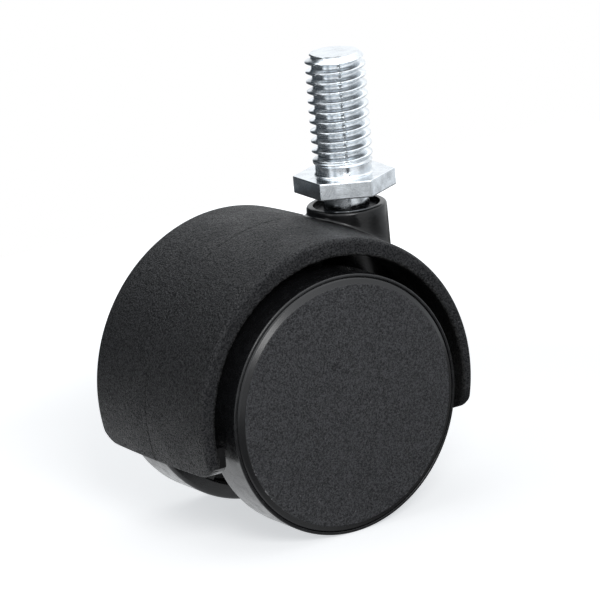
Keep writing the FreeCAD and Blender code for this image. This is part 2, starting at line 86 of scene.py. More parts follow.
# the stage: where the camera looks, the floor's size, and a lit patch of it behind the tail
CAMERA_TARGET = Vector((-10.16, 0, -18.71)) * MM
SENSOR_WIDTH = 36
FLOOR_HALF = 170 * MM
LIT_PATCH = (-48 * MM, 25 * MM, FLOOR_Z)
SOFTBOX_DISTANCE = 550 * MM
KEY_WIDTH, TOP_WIDTH = 200 * MM, 500 * MM
KEY_HEADING, KEY_ELEVATION = math.radians(13), math.radians(32)

# what gloss sees all round: (middle, half width, soft edge) in degrees from the camera's heading
# towards its right, and how bright the panel is
DARK_SIDE = (-112, 46, 8, 0.04)
PANELS = ((16, 6, 4, 0.06), (-38, 5, 3, 0.5), (98, 32, 8, 0.8))
BELOW_TONE = 0.12


# ---------------------------------------------------------------- sizes and colours

class HoodSizes(bpy.types.PropertyGroup):
    """Sizes of the hood over the wheels."""
    lip_wall: FloatProperty(
        name="Lip wall", description="Thickness of the hood at its lips",
        default=2.1 * MM, unit="LENGTH", precision=5)
    lift: FloatProperty(
        name="Lift", description="Middle of the hood's outer curve above the axle",
        default=0.75 * MM, unit="LENGTH", precision=5)
    shift: FloatProperty(
        name="Shift", description="Middle of the hood's outer curve behind the axle",
        default=0.15 * MM, unit="LENGTH", precision=5)
    crown_rise: FloatProperty(
        name="Crown", description="How much the hood stands higher in its middle",
        default=0.5 * MM, unit="LENGTH", precision=5)
    lip_round: FloatProperty(
        name="Lip rounding", description="Rounding of a lip's outer edge",
        default=0.8 * MM, unit="LENGTH", precision=5)
    inner_round: FloatProperty(
        name="Inner rounding", description="Rounding of a lip's inner edge",
        default=0.4 * MM, unit="LENGTH", precision=5)
    skirt_corner: FloatProperty(
        name="Skirt corner", description="Rounding of the lower corners, seen from behind",
        default=3.5 * MM, unit="LENGTH", precision=5)
    skirt_round: FloatProperty(
        name="Skirt rounding", description="Rounding of the lower edges",
        default=0.3 * MM, unit="LENGTH", precision=5)
    parting_depth: FloatProperty(
        name="Parting line depth", description="Depth of the mould's parting line",
        default=0.09 * MM, unit="LENGTH", precision=6)
    parting_width: FloatProperty(
        name="Parting line width", description="Half the width of the mould's parting line",
        default=0.09 * MM, unit="LENGTH", precision=6)
    flash: FloatProperty(
        name="Flash", description="How far the moulding flash stands off a lip's inner edge",
        default=0.09 * MM, unit="LENGTH", precision=6)


class CollarSizes(bpy.types.PropertyGroup):
    """Sizes of the collar and boss round the stem."""
    rim_radius: FloatProperty(
        name="Rim radius", description="Outer radius of the collar at its rim",
        default=6.375 * MM, unit="LENGTH", precision=5)
    foot_radius: FloatProperty(
        name="Foot radius", description="Outer radius of the boss at its lower end",
        default=6.65 * MM, unit="LENGTH", precision=5)
    foot_floor: FloatProperty(
        name="Floor", description="Material below the thrust disc",
        default=2.2 * MM, unit="LENGTH", precision=5)
    rim_round: FloatProperty(
        name="Rim rounding", description="Rounding of the collar's rim",
        default=0.5 * MM, unit="LENGTH", precision=5)
    recess_radius: FloatProperty(
        name="Recess radius", description="Radius of the socket's mouth",
        default=5.3 * MM, unit="LENGTH", precision=5)
    blend: FloatProperty(
        name="Foot blend", description="Rounding between collar and hood",
        default=0.6 * MM, unit="LENGTH", precision=5)


class WebSizes(bpy.types.PropertyGroup):
    """Sizes of what stands between the wheels."""
    web_half: FloatProperty(
        name="Web, half thickness", description="Half the thickness of the plate between the wheels",
        default=1.6 * MM, unit="LENGTH", precision=5)
    boss_radius: FloatProperty(
        name="Axle boss radius", description="Radius of the boss that holds the axle",
        default=6.0 * MM, unit="LENGTH", precision=5)
    boss_half: FloatProperty(
        name="Axle boss, half length", description="Half the length of the boss that holds the axle",
        default=8.9 * MM, unit="LENGTH", precision=5)
    stiffener_half: FloatProperty(
        name="Stiffener, half thickness", description="Half the thickness of a stiffening rib",
        default=0.8 * MM, unit="LENGTH", precision=5)
    stiffener_reach: FloatProperty(
        name="Stiffener, half width", description="How far a stiffening rib stands from the middle plane",
        default=5.5 * MM, unit="LENGTH", precision=5)
    tail_gap: FloatProperty(
        name="Tail rib gap", description="Wheel to the tail's inner rib",
        default=0.8 * MM, unit="LENGTH", precision=5)
    tail_drop: FloatProperty(
        name="Tail rib drop", description="Axle down to the top of the tail's inner rib",
        default=2.0 * MM, unit="LENGTH", precision=5)
    edge_round: FloatProperty(
        name="Edge rounding", description="Rounding of the ribs' edges",
        default=0.3 * MM, unit="LENGTH", precision=5)


class WheelSizes(bpy.types.PropertyGroup):
    """Sizes of a wheel and its cover."""
    bore_radius: FloatProperty(
        name="Bore radius", description="Radius of the wheel's bore",
        default=3.05 * MM, unit="LENGTH", precision=5)
    hub_radius: FloatProperty(
        name="Hub radius", description="Radius of the wheel's hub",
        default=5.2 * MM, unit="LENGTH", precision=5)
    rim_wall: FloatProperty(
        name="Rim wall", description="Thickness of the rim",
        default=2.4 * MM, unit="LENGTH", precision=5)
    rim_round: FloatProperty(
        name="Tread rounding", description="Rounding of the tread's inner edge",
        default=0.5 * MM, unit="LENGTH", precision=5)
    rim_lip: FloatProperty(
        name="Rim lip", description="Thin lip of the rim round the cover",
        default=0.5 * MM, unit="LENGTH", precision=5)
    disc_thick: FloatProperty(
        name="Disc thickness", description="Disc between hub and rim",
        default=1.6 * MM, unit="LENGTH", precision=5)
    disc_depth: FloatProperty(
        name="Disc depth", description="Outer edge of the tread in to that disc",
        default=2.4 * MM, unit="LENGTH", precision=5)
    spokes: IntProperty(name="Ribs", description="Ribs behind the disc", default=6, min=3)
    spoke_half: FloatProperty(
        name="Rib, half thickness", description="Half the thickness of a rib behind the disc",
        default=0.75 * MM, unit="LENGTH", precision=5)
    spoke_setback: FloatProperty(
        name="Rib setback", description="Wheel's inner plane to its ribs",
        default=1.0 * MM, unit="LENGTH", precision=5)
    cover_seat: FloatProperty(
        name="Cover seat", description="Depth of the cover's seat in the rim",
        default=0.9 * MM, unit="LENGTH", precision=5)
    cover_fit: FloatProperty(
        name="Cover gap", description="Gap round the cover",
        default=0.05 * MM, unit="LENGTH", precision=5)
    cover_border: FloatProperty(
        name="Cover border", description="Width of the cover's rounded border",
        default=0.95 * MM, unit="LENGTH", precision=5)
    face_step: FloatProperty(
        name="Face step", description="How much the flat face stands above its border",
        default=0.07 * MM, unit="LENGTH", precision=6)
    cover_skirt: FloatProperty(
        name="Snap skirt", description="Thickness of the cover's snap skirt",
        default=1.2 * MM, unit="LENGTH", precision=5)


class StemSizes(bpy.types.PropertyGroup):
    """Sizes of the stud, its flange and its pintle."""
    thread_radius: FloatProperty(
        name="Thread radius", description="Outer radius of the thread",
        default=4.7625 * MM, unit="LENGTH", precision=6)
    thread_pitch: FloatProperty(
        name="Pitch", description="Thread pitch, 16 turns to the inch",
        default=25.4 * MM / 16, unit="LENGTH", precision=6)
    neck_radius: FloatProperty(
        name="Neck radius", description="Plain neck between flange and thread",
        default=4.45 * MM, unit="LENGTH", precision=5)
    neck_length: FloatProperty(
        name="Neck length", description="Length of that neck",
        default=1.7 * MM, unit="LENGTH", precision=5)
    neck_foot: FloatProperty(
        name="Neck foot", description="Hollow rounding between neck and flange",
        default=0.45 * MM, unit="LENGTH", precision=5)
    tip_chamfer: FloatProperty(
        name="Tip chamfer", description="Chamfer at the stud's tip",
        default=0.95 * MM, unit="LENGTH", precision=5)
    flange_flats: FloatProperty(
        name="Flange over flats", description="Flange across its flats",
        default=14.0 * MM, unit="LENGTH", precision=5)
    flange_thick: FloatProperty(
        name="Flange thickness", description="Thickness of the flange",
        default=2.7 * MM, unit="LENGTH", precision=5)
    flange_turn: FloatProperty(
        name="Flange turn", description="Angle from X to the flange's first corner",
        default=math.radians(27.7), subtype="ANGLE")
    flange_round: FloatProperty(
        name="Flange edges", description="Rounding of the flange's edges",
        default=0.14 * MM, unit="LENGTH", precision=6)
    pintle_radius: FloatProperty(
        name="Pintle radius", description="Radius of the pin that the caster swivels on",
        default=3.65 * MM, unit="LENGTH", precision=5)
    pintle_blend: FloatProperty(
        name="Pintle blend", description="Hollow rounding between pintle and flange",
        default=0.7 * MM, unit="LENGTH", precision=5)
    groove_depth: FloatProperty(
        name="Ring groove", description="Depth of the retaining ring's groove",
        default=0.55 * MM, unit="LENGTH", precision=5)


def colour_setting(name, description, red, green, blue):
    """A colour that a user may change."""
    return FloatVectorProperty(
        name=name, description=description, subtype="COLOR", size=3, min=0.0, max=1.0,
        default=(red, green, blue))


class FinishColours(bpy.types.PropertyGroup):
    """Base colours of the finishes."""
    hood: colour_setting("Hood", "Grained black of the hood", 0.0062, 0.0065, 0.0076)
    collar: colour_setting("Collar", "Smooth black of the collar", 0.0050, 0.0051, 0.0056)
    wheel: colour_setting("Wheel", "Glossy black of the wheels", 0.0110, 0.0113, 0.0125)
    cover: colour_setting("Cover", "Grained black of the wheel covers", 0.0215, 0.0222, 0.0255)
    # This pale colour serves both scuffs and painted glints: the hood's pale specks and the bright dashes at
    # the covers' edges, as well as specks on collar and covers.
    scuffs_and_glints: colour_setting("Wear", "Pale scuffs and specks on the black mouldings", 0.34, 0.34, 0.35)
    zinc: colour_setting("Zinc plate", "Bright plating of the stem", 0.88, 0.92, 0.955)
    steel: colour_setting("Steel", "Ground steel of the axle", 0.56, 0.57, 0.58)
    spring: colour_setting("Spring steel", "Dark oiled steel of rings and washers", 0.20, 0.19, 0.18)
    # The bush's dark colour is painted shade: it stands for the shade in the socket's recess round the stem.
    bush: colour_setting("Bush", "Dark bearing plastic of the stem bush", 0.05, 0.05, 0.054)


class StageSettings(bpy.types.PropertyGroup):
    """Camera, floor and light."""
    azimuth: FloatProperty(
        name="Azimuth", description="Camera round the stem, from looking along Y",
        default=math.radians(-32.67), subtype="ANGLE")
    elevation: FloatProperty(
        name="Elevation", description="Camera above the horizon",
        default=math.radians(15.69), subtype="ANGLE")
    roll: FloatProperty(
        name="Roll", description="Camera turned about its own axis",
        default=math.radians(-4.84), subtype="ANGLE")
    distance: FloatProperty(
        name="Distance", description="Camera to the point that it looks at",
        default=784.9 * MM, unit="LENGTH")
    lens: FloatProperty(
        name="Lens", description="Focal length in millimetres on a 36 mm sensor",
        default=300.0, subtype="DISTANCE_CAMERA")
    key_power: FloatProperty(
        name="Key softbox", description="Power of the softbox above and to the right of the camera",
        default=1.1, unit="POWER")
    top_power: FloatProperty(
        name="Top softbox", description="Power of the softbox overhead",
        default=0.4, unit="POWER")
    ambient: FloatProperty(
        name="Ambient", description="Light from all round on rough surfaces",
        default=0.25, min=0.0)


# ---------------------------------------------------------------- surfaces from arrays

def unit(vectors):
    """The vectors, each divided by its own length."""
    return vectors / np.linalg.norm(vectors, axis=-1, keepdims=True)


def smooth_step(value, start, end):
    """0 before start, 1 after end, and t * t * (3 - 2 t) in between."""
    t = np.clip((value - start) / (end - start), 0, 1)
    return t * t * (3 - 2 * t)


def rounded_outline(corners, steps=6, guard=0.3):
    """Closed outline through corners of (across, up, rounding).

    An arc touches the two sides at rounding / tan(half the opening) from its corner, and turns
    about a centre on the bisector by half a turn less the opening. A guard point follows the arc
    on each side, so that the flat faces beside it shade flat.
    """
    corners = np.asarray(corners, float)
    point, rounding = corners[:, :2], corners[:, 2:]
    back = unit(np.roll(point, 1, axis=0) - point)
    ahead = unit(np.roll(point, -1, axis=0) - point)
    half = np.arccos(np.clip((back * ahead).sum(axis=1, keepdims=True), -1, 1)) / 2
    centre = point + unit(back + ahead) * rounding / np.sin(half)
    spoke = point + back * rounding / np.tan(half) - centre
    side = np.sign(back[:, 1:] * ahead[:, :1] - back[:, :1] * ahead[:, 1:])
    turn = side * (np.pi - 2 * half) * np.linspace(0, 1, steps)
    arc = np.stack([
        centre[:, :1] + spoke[:, :1] * np.cos(turn) - spoke[:, 1:] * np.sin(turn),
        centre[:, 1:] + spoke[:, :1] * np.sin(turn) + spoke[:, 1:] * np.cos(turn),
    ], axis=-1)
    before = arc[:, :1] + (back * rounding * guard)[:, None]
    after = arc[:, -1:] + (ahead * rounding * guard)[:, None]
    return np.concatenate([before, arc, after], axis=1).reshape(-1, 2)


def on_axle(radius, angle, across):
    """Points at a radius and angle round the axle, from X towards Z, and a distance across along Y."""
    radius, angle, across = np.broadcast_arrays(radius, angle, across)
    return np.stack([AXLE_X + radius * np.cos(angle), across, AXLE_Z + radius * np.sin(angle)], axis=-1)


def on_stem(radius, angle, height):
    """Points at a radius and angle round the stem's axis, and a height."""
    radius, angle, height = np.broadcast_arrays(radius, angle, height)
    return np.stack([radius * np.cos(angle), radius * np.sin(angle), height], axis=-1)


def full_turn(steps):
    """Angles of one whole turn, as a column, without the last one."""
    return np.linspace(0, 2 * np.pi, steps, endpoint=False)[:, None]


def skin(points, close_rows=False, close_columns=False):
    """(points, quads) of a grid: a quad between each four neighbours, and round a closed direction."""
    number = np.arange(points.shape[0] * points.shape[1]).reshape(points.shape[:2])
    if close_rows:
        number = np.concatenate([number, number[:1]])
    if close_columns:
        number = np.concatenate([number, number[:, :1]], axis=1)
    quads = np.stack([number[:-1, :-1], number[1:, :-1], number[1:, 1:], number[:-1, 1:]], axis=-1)
    return points.reshape(-1, 3), quads.reshape(-1, 4)


def turned(outline, place, steps=192, closed=True):
    """An outline of (radius, along) carried once round the axle or the stem's axis."""
    points = place(outline[:, 0], full_turn(steps), outline[:, 1])
    return skin(points, close_rows=True, close_columns=closed)


def plate(along, low, high, half, rounding, upright):
    """Plate whose lower and upper edges are heights along its length.

    Its section is a rounded slot of the given half thickness, stretched between low and high at
    each step, and its thickness shrinks to nothing at both ends, which closes them.
    """
    slot = rounded_outline([(-half, 0, rounding), (half, 0, rounding), (half, 1, 0), (-half, 1, 0)])
    foot = slot[:, 1] < 0.5
    across = slot[:, 0] * np.r_[0, np.ones(len(along)), 0][:, None]
    along, low, high = (np.r_[line[0], line, line[-1]][:, None] for line in (along, low, high))
    height = np.where(foot, low + slot[:, 1], high)
    along = np.broadcast_to(along, height.shape)
    order = (along, across, height) if upright == "X" else (across, along, height)
    return np.stack(order, axis=-1)


def bar(angle, start, end, half, low, high, rounding):
    """Rib that runs out from the axle at an angle, with a rounded section of (sideways, across)."""
    section = rounded_outline([
        (-half, low, rounding), (half, low, rounding), (half, high, rounding), (-half, high, rounding)])
    middle = section.mean(axis=0)
    reach = np.array([start, start, end, end])[:, None]
    shrink = np.array([0, 1, 1, 0])[:, None, None]
    section = middle + (section - middle) * shrink
    out = np.array([math.cos(angle), 0, math.sin(angle)])
    side = np.array([-math.sin(angle), 0, math.cos(angle)])
    centre = np.array([AXLE_X, 0, AXLE_Z])
    points = centre + reach[..., None] * out + section[..., :1] * side
    points[..., 1] = section[..., 1]
    return skin(points, close_columns=True)


def close_shell(mesh):
    """Merge doubles, drop stray points and turn faces outwards. Raises if an edge lacks its two faces."""
    shell = bmesh.new()
    shell.from_mesh(mesh)
    bmesh.ops.remove_doubles(shell, verts=shell.verts, dist=DOUBLES)
    bmesh.ops.dissolve_degenerate(shell, edges=shell.edges, dist=DOUBLES)
    stray = [vertex for vertex in shell.verts if not vertex.link_faces]
    bmesh.ops.delete(shell, geom=stray, context="VERTS")
    bmesh.ops.recalc_face_normals(shell, faces=shell.faces)
    open_edges = [edge for edge in shell.edges if len(edge.link_faces) != 2]
    if open_edges:
        place = open_edges[0].verts[0].co
        raise RuntimeError(f"{mesh.name} has {len(open_edges)} open edges, one at {place}")
    shell.to_mesh(mesh)
    shell.free()


def add_piece(name, skins, finish, body, stands_for, crease=38):
    """Join skins into one closed mesh, and ride it on its body."""
    starts = np.cumsum([0] + [len(points) for points, _ in skins])
    points = np.concatenate([points for points, _ in skins])
    quads = np.concatenate([quads + start for (_, quads), start in zip(skins, starts)])
    mesh = bpy.data.meshes.new(name)
    mesh.vertices.add(len(points))
    mesh.vertices.foreach_set("co", points.ravel())
    mesh.loops.add(quads.size)
    mesh.loops.foreach_set("vertex_index", quads.ravel())
    mesh.polygons.add(len(quads))
    mesh.polygons.foreach_set("loop_start", np.arange(0, quads.size, 4))
    mesh.update(calc_edges=True)

    close_shell(mesh)
    mesh.shade_smooth()
    mesh.set_sharp_from_angle(angle=math.radians(crease))
    mesh.materials.append(finish)

    piece = bpy.data.objects.new(name, mesh)
    bpy.context.scene.collection.objects.link(piece)
    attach(piece, body)
    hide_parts(stands_for)
    return piece


def bore(piece, radius, low, high, steps=96):
    """Cut a round hole along the stem's axis through a piece, from one height to another."""
    outline = np.array([(0, low), (radius, low), (radius, high), (0, high)])
    points, quads = turned(outline, on_stem, steps, closed=False)
    mesh = bpy.data.meshes.new("cutter")
    mesh.from_pydata(points.tolist(), [], quads.tolist())
    close_shell(mesh)
    cutter = bpy.data.objects.new("cutter", mesh)
    bpy.context.scene.collection.objects.link(cutter)
    cut = piece.modifiers.new("bore", "BOOLEAN")
    cut.operation = "DIFFERENCE"
    cut.solver = "EXACT"
    cut.object = cutter
    before = piece.data
    shape = piece.evaluated_get(bpy.context.evaluated_depsgraph_get())
    piece.data = bpy.data.meshes.new_from_object(shape)
    piece.modifiers.clear()
    bpy.data.objects.remove(cutter)
    bpy.data.meshes.remove(mesh)
    bpy.data.meshes.remove(before)
    piece.data.name = piece.name


# ---------------------------------------------------------------- finishes

def wire(tree, kind, sockets, **settings):
    """Add a shader node, make its settings, and set or link its sockets. Gives its outputs."""
    node = tree.nodes.new("ShaderNode" + kind)
    for name, value in settings.items():
        setattr(node, name, value)
    for key, value in sockets.items():
        if isinstance(value, bpy.types.NodeSocket):
            tree.links.new(value, node.inputs[key])
        else:
            node.inputs[key].default_value = value
    return node.outputs


def calculate(tree, operation, first, second=0.0):
    """One sum on two numbers."""
    return wire(tree, "Math", {0: first, 1: second}, operation=operation)[0]


def ramp(tree, value, start, end, low=0.0, high=1.0):
    """low before start, high after end, smooth between."""
    sockets = {"Value": value, "From Min": start, "From Max": end, "To Min": low, "To Max": high}
    return wire(tree, "MapRange", sockets, interpolation_type="SMOOTHSTEP")[0]


def blend_number(tree, factor, first, second):
    """first at 0, second at 1."""
    return wire(tree, "Mix", {0: factor, 2: first, 3: second}, data_type="FLOAT")[0]


def blend_colour(tree, factor, first, second):
    """first at 0, second at 1."""
    return wire(tree, "Mix", {0: factor, 6: first, 7: second}, data_type="RGBA")[2]


def noise(tree, place, size, detail=2.0, roughness=0.5):
    """Noise whose patches are about the given size, in metres."""
    sockets = {"Vector": place, "Scale": 1 / size, "Detail": detail, "Roughness": roughness}
    return wire(tree, "TexNoise", sockets)["Fac"]


def specks(tree, place, spacing, reach, share):
    """1 on small round specks: cells of that spacing, a share of which have one, reach wide."""
    cells = wire(tree, "TexVoronoi", {"Vector": place, "Scale": 1 / spacing})
    near = ramp(tree, cells["Distance"], reach / spacing, reach / spacing * 0.5)
    chosen = wire(tree, "SeparateColor", {0: cells["Color"]})[0]
    return calculate(tree, "MULTIPLY", near, calculate(tree, "GREATER_THAN", chosen, 1 - share))


def bumped(tree, height, depth, under=None):
    """Normal of a surface whose height is that value times depth, in metres."""
    sockets = {"Height": height, "Distance": depth, "Strength": 1.0}
    if under is not None:
        sockets["Normal"] = under
    return wire(tree, "Bump", sockets)["Normal"]


def start_finish(name):
    """An empty material with a Principled shader: (material, tree, shader's inputs, Object coordinates)."""
    material = bpy.data.materials.new(name)
    material.use_nodes = True
    tree = material.node_tree
    shader = tree.nodes["Principled BSDF"]
    place = wire(tree, "TexCoord", {})["Object"]
    return material, tree, shader.inputs, place


def link(tree, sockets, inputs):
    """Link outputs to the shader's inputs by name."""
    for name, output in sockets.items():
        tree.links.new(output, inputs[name])


def rgba(colour, brighter=1.0):
    """A colour setting as four numbers, made brighter by a factor."""
    return (*(channel * brighter for channel in colour), 1.0)


def round_the_axle(tree, place):
    """(radius, angle, across) of a point about the axle."""
    offset = wire(tree, "VectorMath", {0: place, 1: (AXLE_X, 0, AXLE_Z)}, operation="SUBTRACT")[0]
    x, y, z = wire(tree, "SeparateXYZ", {0: offset})
    flat = wire(tree, "CombineXYZ", {0: x, 2: z})[0]
    radius = wire(tree, "VectorMath", {0: flat}, operation="LENGTH")["Value"]
    return radius, calculate(tree, "ARCTAN2", z, x), calculate(tree, "ABSOLUTE", y)


def band(tree, value, middle, half, soft):
    """1 within half of the middle, falling to 0 over soft."""
    off = calculate(tree, "ABSOLUTE", calculate(tree, "SUBTRACT", value, middle))
    return ramp(tree, off, half + soft, half)


def grained_hood(colours):
    """Spark-eroded black: pits, mottling, pale specks painted as glints, scuffed lips, painted shade
    darkening the inside over the wheels, and a dark parting line.
    """
    material, tree, inputs, place = start_finish("grained_black_hood")
    radius, angle, across = round_the_axle(tree, place)
    grain = noise(tree, place, 0.27 * MM, detail=2, roughness=0.8)
    pits = noise(tree, place, 0.8 * MM)
    mottle = noise(tree, place, 5 * MM, detail=3)
    body = blend_colour(tree, ramp(tree, grain, 0.3, 0.75), rgba(colours.hood, 0.2), rgba(colours.hood, 2.4))
    body = blend_colour(tree, ramp(tree, mottle, 0.35, 0.7, 0, 0.5), body, rgba(colours.hood, 1.6))
    lip = ramp(tree, across, HOOD_HALF - 0.7 * MM, HOOD_HALF - 0.1 * MM, 0, 0.6)
    body = blend_colour(tree, lip, body, rgba(colours.hood, 2.0))
    # Painted shade: inside the hood, over the wheels, the colour is darkened to 0.15 of the hood's colour.
    hollow = WHEEL_R + 3 * MM
    inside = ramp(tree, radius, hollow + 0.2 * MM, hollow - 0.2 * MM)
    body = blend_colour(tree, inside, body, rgba(colours.hood, 0.15))
    # Painted glints: on the hood these pale specks stand for small bright glints on the grain.
    pale_specks = specks(tree, place, 1.5 * MM, 0.13 * MM, 0.06)
    body = blend_colour(tree, calculate(tree, "MULTIPLY", pale_specks, 0.5), body, rgba(colours.scuffs_and_glints))
    line = band(tree, across, 0, 0.07 * MM, 0.09 * MM)
    lower = ramp(tree, calculate(tree, "ABSOLUTE", angle), 2.8, 2.9)
    upper = band(tree, angle, 1.75, 0.25, 0.15)
    line = calculate(tree, "MULTIPLY", line, calculate(tree, "MAXIMUM", lower, upper))
    body = blend_colour(tree, calculate(tree, "MULTIPLY", line, 0.8), body, (0.001, 0.001, 0.001, 1))
    height = calculate(tree, "ADD", grain, calculate(tree, "MULTIPLY", pits, 0.8))
    link(tree, {
        "Base Color": body,
        "Roughness": ramp(tree, mottle, 0.3, 0.7, 0.48, 0.58),
        "Specular IOR Level": ramp(tree, grain, 0.35, 0.65, 0.08, 0.62),
        "Normal": bumped(tree, height, 0.32 * MM),
    }, inputs)
    return material


def smooth_collar(colours):
    """Smooth satin black with faint drag marks and pale dust specks."""
    material, tree, inputs, place = start_finish("satin_black_collar")
    grain = noise(tree, place, 0.4 * MM, detail=3)
    mottle = noise(tree, place, 3 * MM)
    cloudy = ramp(tree, mottle, 0.3, 0.7)
    body = blend_colour(tree, cloudy, rgba(colours.collar, 0.8), rgba(colours.collar, 1.4))
    pale_specks = specks(tree, place, 1.6 * MM, 0.1 * MM, 0.05)
    body = blend_colour(tree, calculate(tree, "MULTIPLY", pale_specks, 0.5), body, rgba(colours.scuffs_and_glints))
    link(tree, {
        "Base Color": body,
        "Roughness": ramp(tree, mottle, 0.3, 0.7, 0.18, 0.26),
        "Normal": bumped(tree, grain, 0.01 * MM),
    }, inputs)
    inputs["Specular IOR Level"].default_value = 0.45
    return material


def glossy_wheel(colours):
    """Polished black tread: faint drag lines round the wheel and light scuffs."""
    material, tree, inputs, place = start_finish("glossy_black_wheel")
    radius, angle, across = round_the_axle(tree, place)
    scuff = noise(tree, place, 1.5 * MM, detail=5, roughness=0.65)
    lines = wire(tree, "CombineXYZ", {0: calculate(tree, "MULTIPLY", angle, 2 * MM), 1: across})[0]
    drag = noise(tree, lines, 0.12 * MM, detail=2)
    body = blend_colour(tree, ramp(tree, scuff, 0.45, 0.75), rgba(colours.wheel), rgba(colours.wheel, 1.6))
    outer = ramp(tree, radius, WHEEL_R - 0.5 * MM, WHEEL_R - 0.2 * MM)
    rough = ramp(tree, scuff, 0.35, 0.75, 0.17, 0.34)
    link(tree, {
        "Base Color": body,
        "Roughness": calculate(tree, "ADD", rough, calculate(tree, "MULTIPLY", outer, 0.03)),
        "Normal": bumped(tree, drag, 0.002 * MM),
    }, inputs)
    inputs["Specular IOR Level"].default_value = 0.5
    return material


def grained_cover(colours, face_radius):
    """Fine-grained face inside a glossy border, with pale specks, and pale dashes along the face's edge at
    lower left and lower right, partly scuffs and partly painted highlights where the edge catches light.
    """
    material, tree, inputs, place = start_finish("grained_black_cover")
    radius, angle, _ = round_the_axle(tree, place)
    face = ramp(tree, radius, face_radius + 0.02 * MM, face_radius - 0.12 * MM)
    grain = noise(tree, place, 0.25 * MM, detail=2, roughness=0.8)
    mottle = noise(tree, place, 6 * MM, detail=3)
    grainy = ramp(tree, grain, 0.3, 0.75)
    body = blend_colour(tree, grainy, rgba(colours.cover, 0.3), rgba(colours.cover, 2.0))
    body = blend_colour(tree, ramp(tree, mottle, 0.35, 0.7, 0, 0.3), body, rgba(colours.cover, 1.35))
    body = blend_colour(tree, face, rgba(colours.wheel, 1.0), body)
    pale_specks = calculate(tree, "MULTIPLY", specks(tree, place, 1.1 * MM, 0.13 * MM, 0.22), face)
    # The pale dashes below are partly scuffs and partly painted highlights: they stand at lower left and
    # lower right, where the face's edge catches light.
    edge = band(tree, radius, face_radius - 0.03 * MM, 0.05 * MM, 0.06 * MM)
    scuff_glint_left = band(tree, angle, -2.62, 0.18, 0.12)
    scuff_glint_right = band(tree, angle, -0.92, 0.1, 0.1)
    scuff_glint_sides = calculate(tree, "MAXIMUM", scuff_glint_left, scuff_glint_right)
    dashes = ramp(tree, noise(tree, place, 0.7 * MM, detail=4, roughness=0.7), 0.5, 0.62)
    scuffs_and_glints = calculate(tree, "MULTIPLY", calculate(tree, "MULTIPLY", edge, scuff_glint_sides), dashes)
    pale = calculate(tree, "MAXIMUM", scuffs_and_glints, calculate(tree, "MULTIPLY", pale_specks, 0.4))
    body = blend_colour(tree, pale, body, rgba(colours.scuffs_and_glints))
    link(tree, {
        "Base Color": body,
        "Roughness": ramp(tree, face, 0, 1, 0.27, 0.5),
        "Specular IOR Level": blend_number(tree, face, 0.5, ramp(tree, grain, 0.35, 0.65, 0.3, 0.95)),
        "Normal": bumped(tree, calculate(tree, "MULTIPLY", grain, face), 0.18 * MM),
    }, inputs)
    return material


def bright_zinc(colours):
    """Bright zinc plate: fine turning marks, cloudy passivation and small dull spots."""
    material, tree, inputs, place = start_finish("bright_zinc_plate")
    stretched = wire(tree, "VectorMath", {0: place, 1: (0.05, 0.05, 1)}, operation="MULTIPLY")[0]
    marks = noise(tree, stretched, 0.06 * MM, detail=3, roughness=0.7)
    cloud = noise(tree, place, 2.2 * MM, detail=4, roughness=0.6)
    dull = specks(tree, place, 1.4 * MM, 0.22 * MM, 0.2)
    body = blend_colour(tree, ramp(tree, cloud, 0.35, 0.7), rgba(colours.zinc), rgba(colours.zinc, 0.8))
    body = blend_colour(tree, calculate(tree, "MULTIPLY", dull, 0.5), body, rgba(colours.zinc, 0.55))
    rough = ramp(tree, cloud, 0.3, 0.75, 0.13, 0.30)
    relief = calculate(tree, "ADD", marks, calculate(tree, "MULTIPLY", cloud, 2))
    link(tree, {
        "Base Color": body,
        "Roughness": calculate(tree, "ADD", rough, calculate(tree, "MULTIPLY", dull, 0.15)),
        "Normal": bumped(tree, relief, 0.006 * MM),
    }, inputs)
    inputs["Metallic"].default_value = 1.0
    return material


def ground_steel(colours):
    """Ground bar: fine lines round the axle under a thin film of oil."""
    material, tree, inputs, place = start_finish("ground_steel_axle")
    stretched = wire(tree, "VectorMath", {0: place, 1: (0.04, 1, 0.04)}, operation="MULTIPLY")[0]
    lines = noise(tree, stretched, 0.05 * MM, detail=3, roughness=0.7)
    film = noise(tree, place, 3 * MM, detail=3)
    body = blend_colour(tree, ramp(tree, film, 0.35, 0.7), rgba(colours.steel), rgba(colours.steel, 0.75))
    link(tree, {
        "Base Color": body,
        "Roughness": ramp(tree, film, 0.3, 0.7, 0.22, 0.36),
        "Normal": bumped(tree, lines, 0.004 * MM),
    }, inputs)
    inputs["Metallic"].default_value = 1.0
    return material


def oiled_spring(colours):
    """Blued spring steel, uneven in tone and slightly pitted."""
    material, tree, inputs, place = start_finish("oiled_spring_steel")
    patches = noise(tree, place, 0.9 * MM, detail=4, roughness=0.6)
    pits = noise(tree, place, 0.15 * MM, detail=2)
    body = blend_colour(tree, ramp(tree, patches, 0.35, 0.7), rgba(colours.spring), rgba(colours.spring, 1.6))
    link(tree, {
        "Base Color": body,
        "Roughness": ramp(tree, patches, 0.3, 0.7, 0.3, 0.5),
        "Normal": bumped(tree, pits, 0.006 * MM),
    }, inputs)
    inputs["Metallic"].default_value = 1.0
    return material


def bush_in_painted_shade(colours):
    """Bearing plastic, waxy and faintly cloudy; its dark colour is painted shade for the socket's recess."""
    material, tree, inputs, place = start_finish("dark_bearing_plastic")
    cloud = noise(tree, place, 1.8 * MM, detail=3)
    drag = noise(tree, place, 0.2 * MM)
    body = blend_colour(tree, ramp(tree, cloud, 0.3, 0.7), rgba(colours.bush), rgba(colours.bush, 0.7))
    link(tree, {
        "Base Color": body,
        "Roughness": ramp(tree, cloud, 0.3, 0.7, 0.36, 0.48),
        "Normal": bumped(tree, drag, 0.004 * MM),
    }, inputs)
    return material


# ---------------------------------------------------------------- shapes

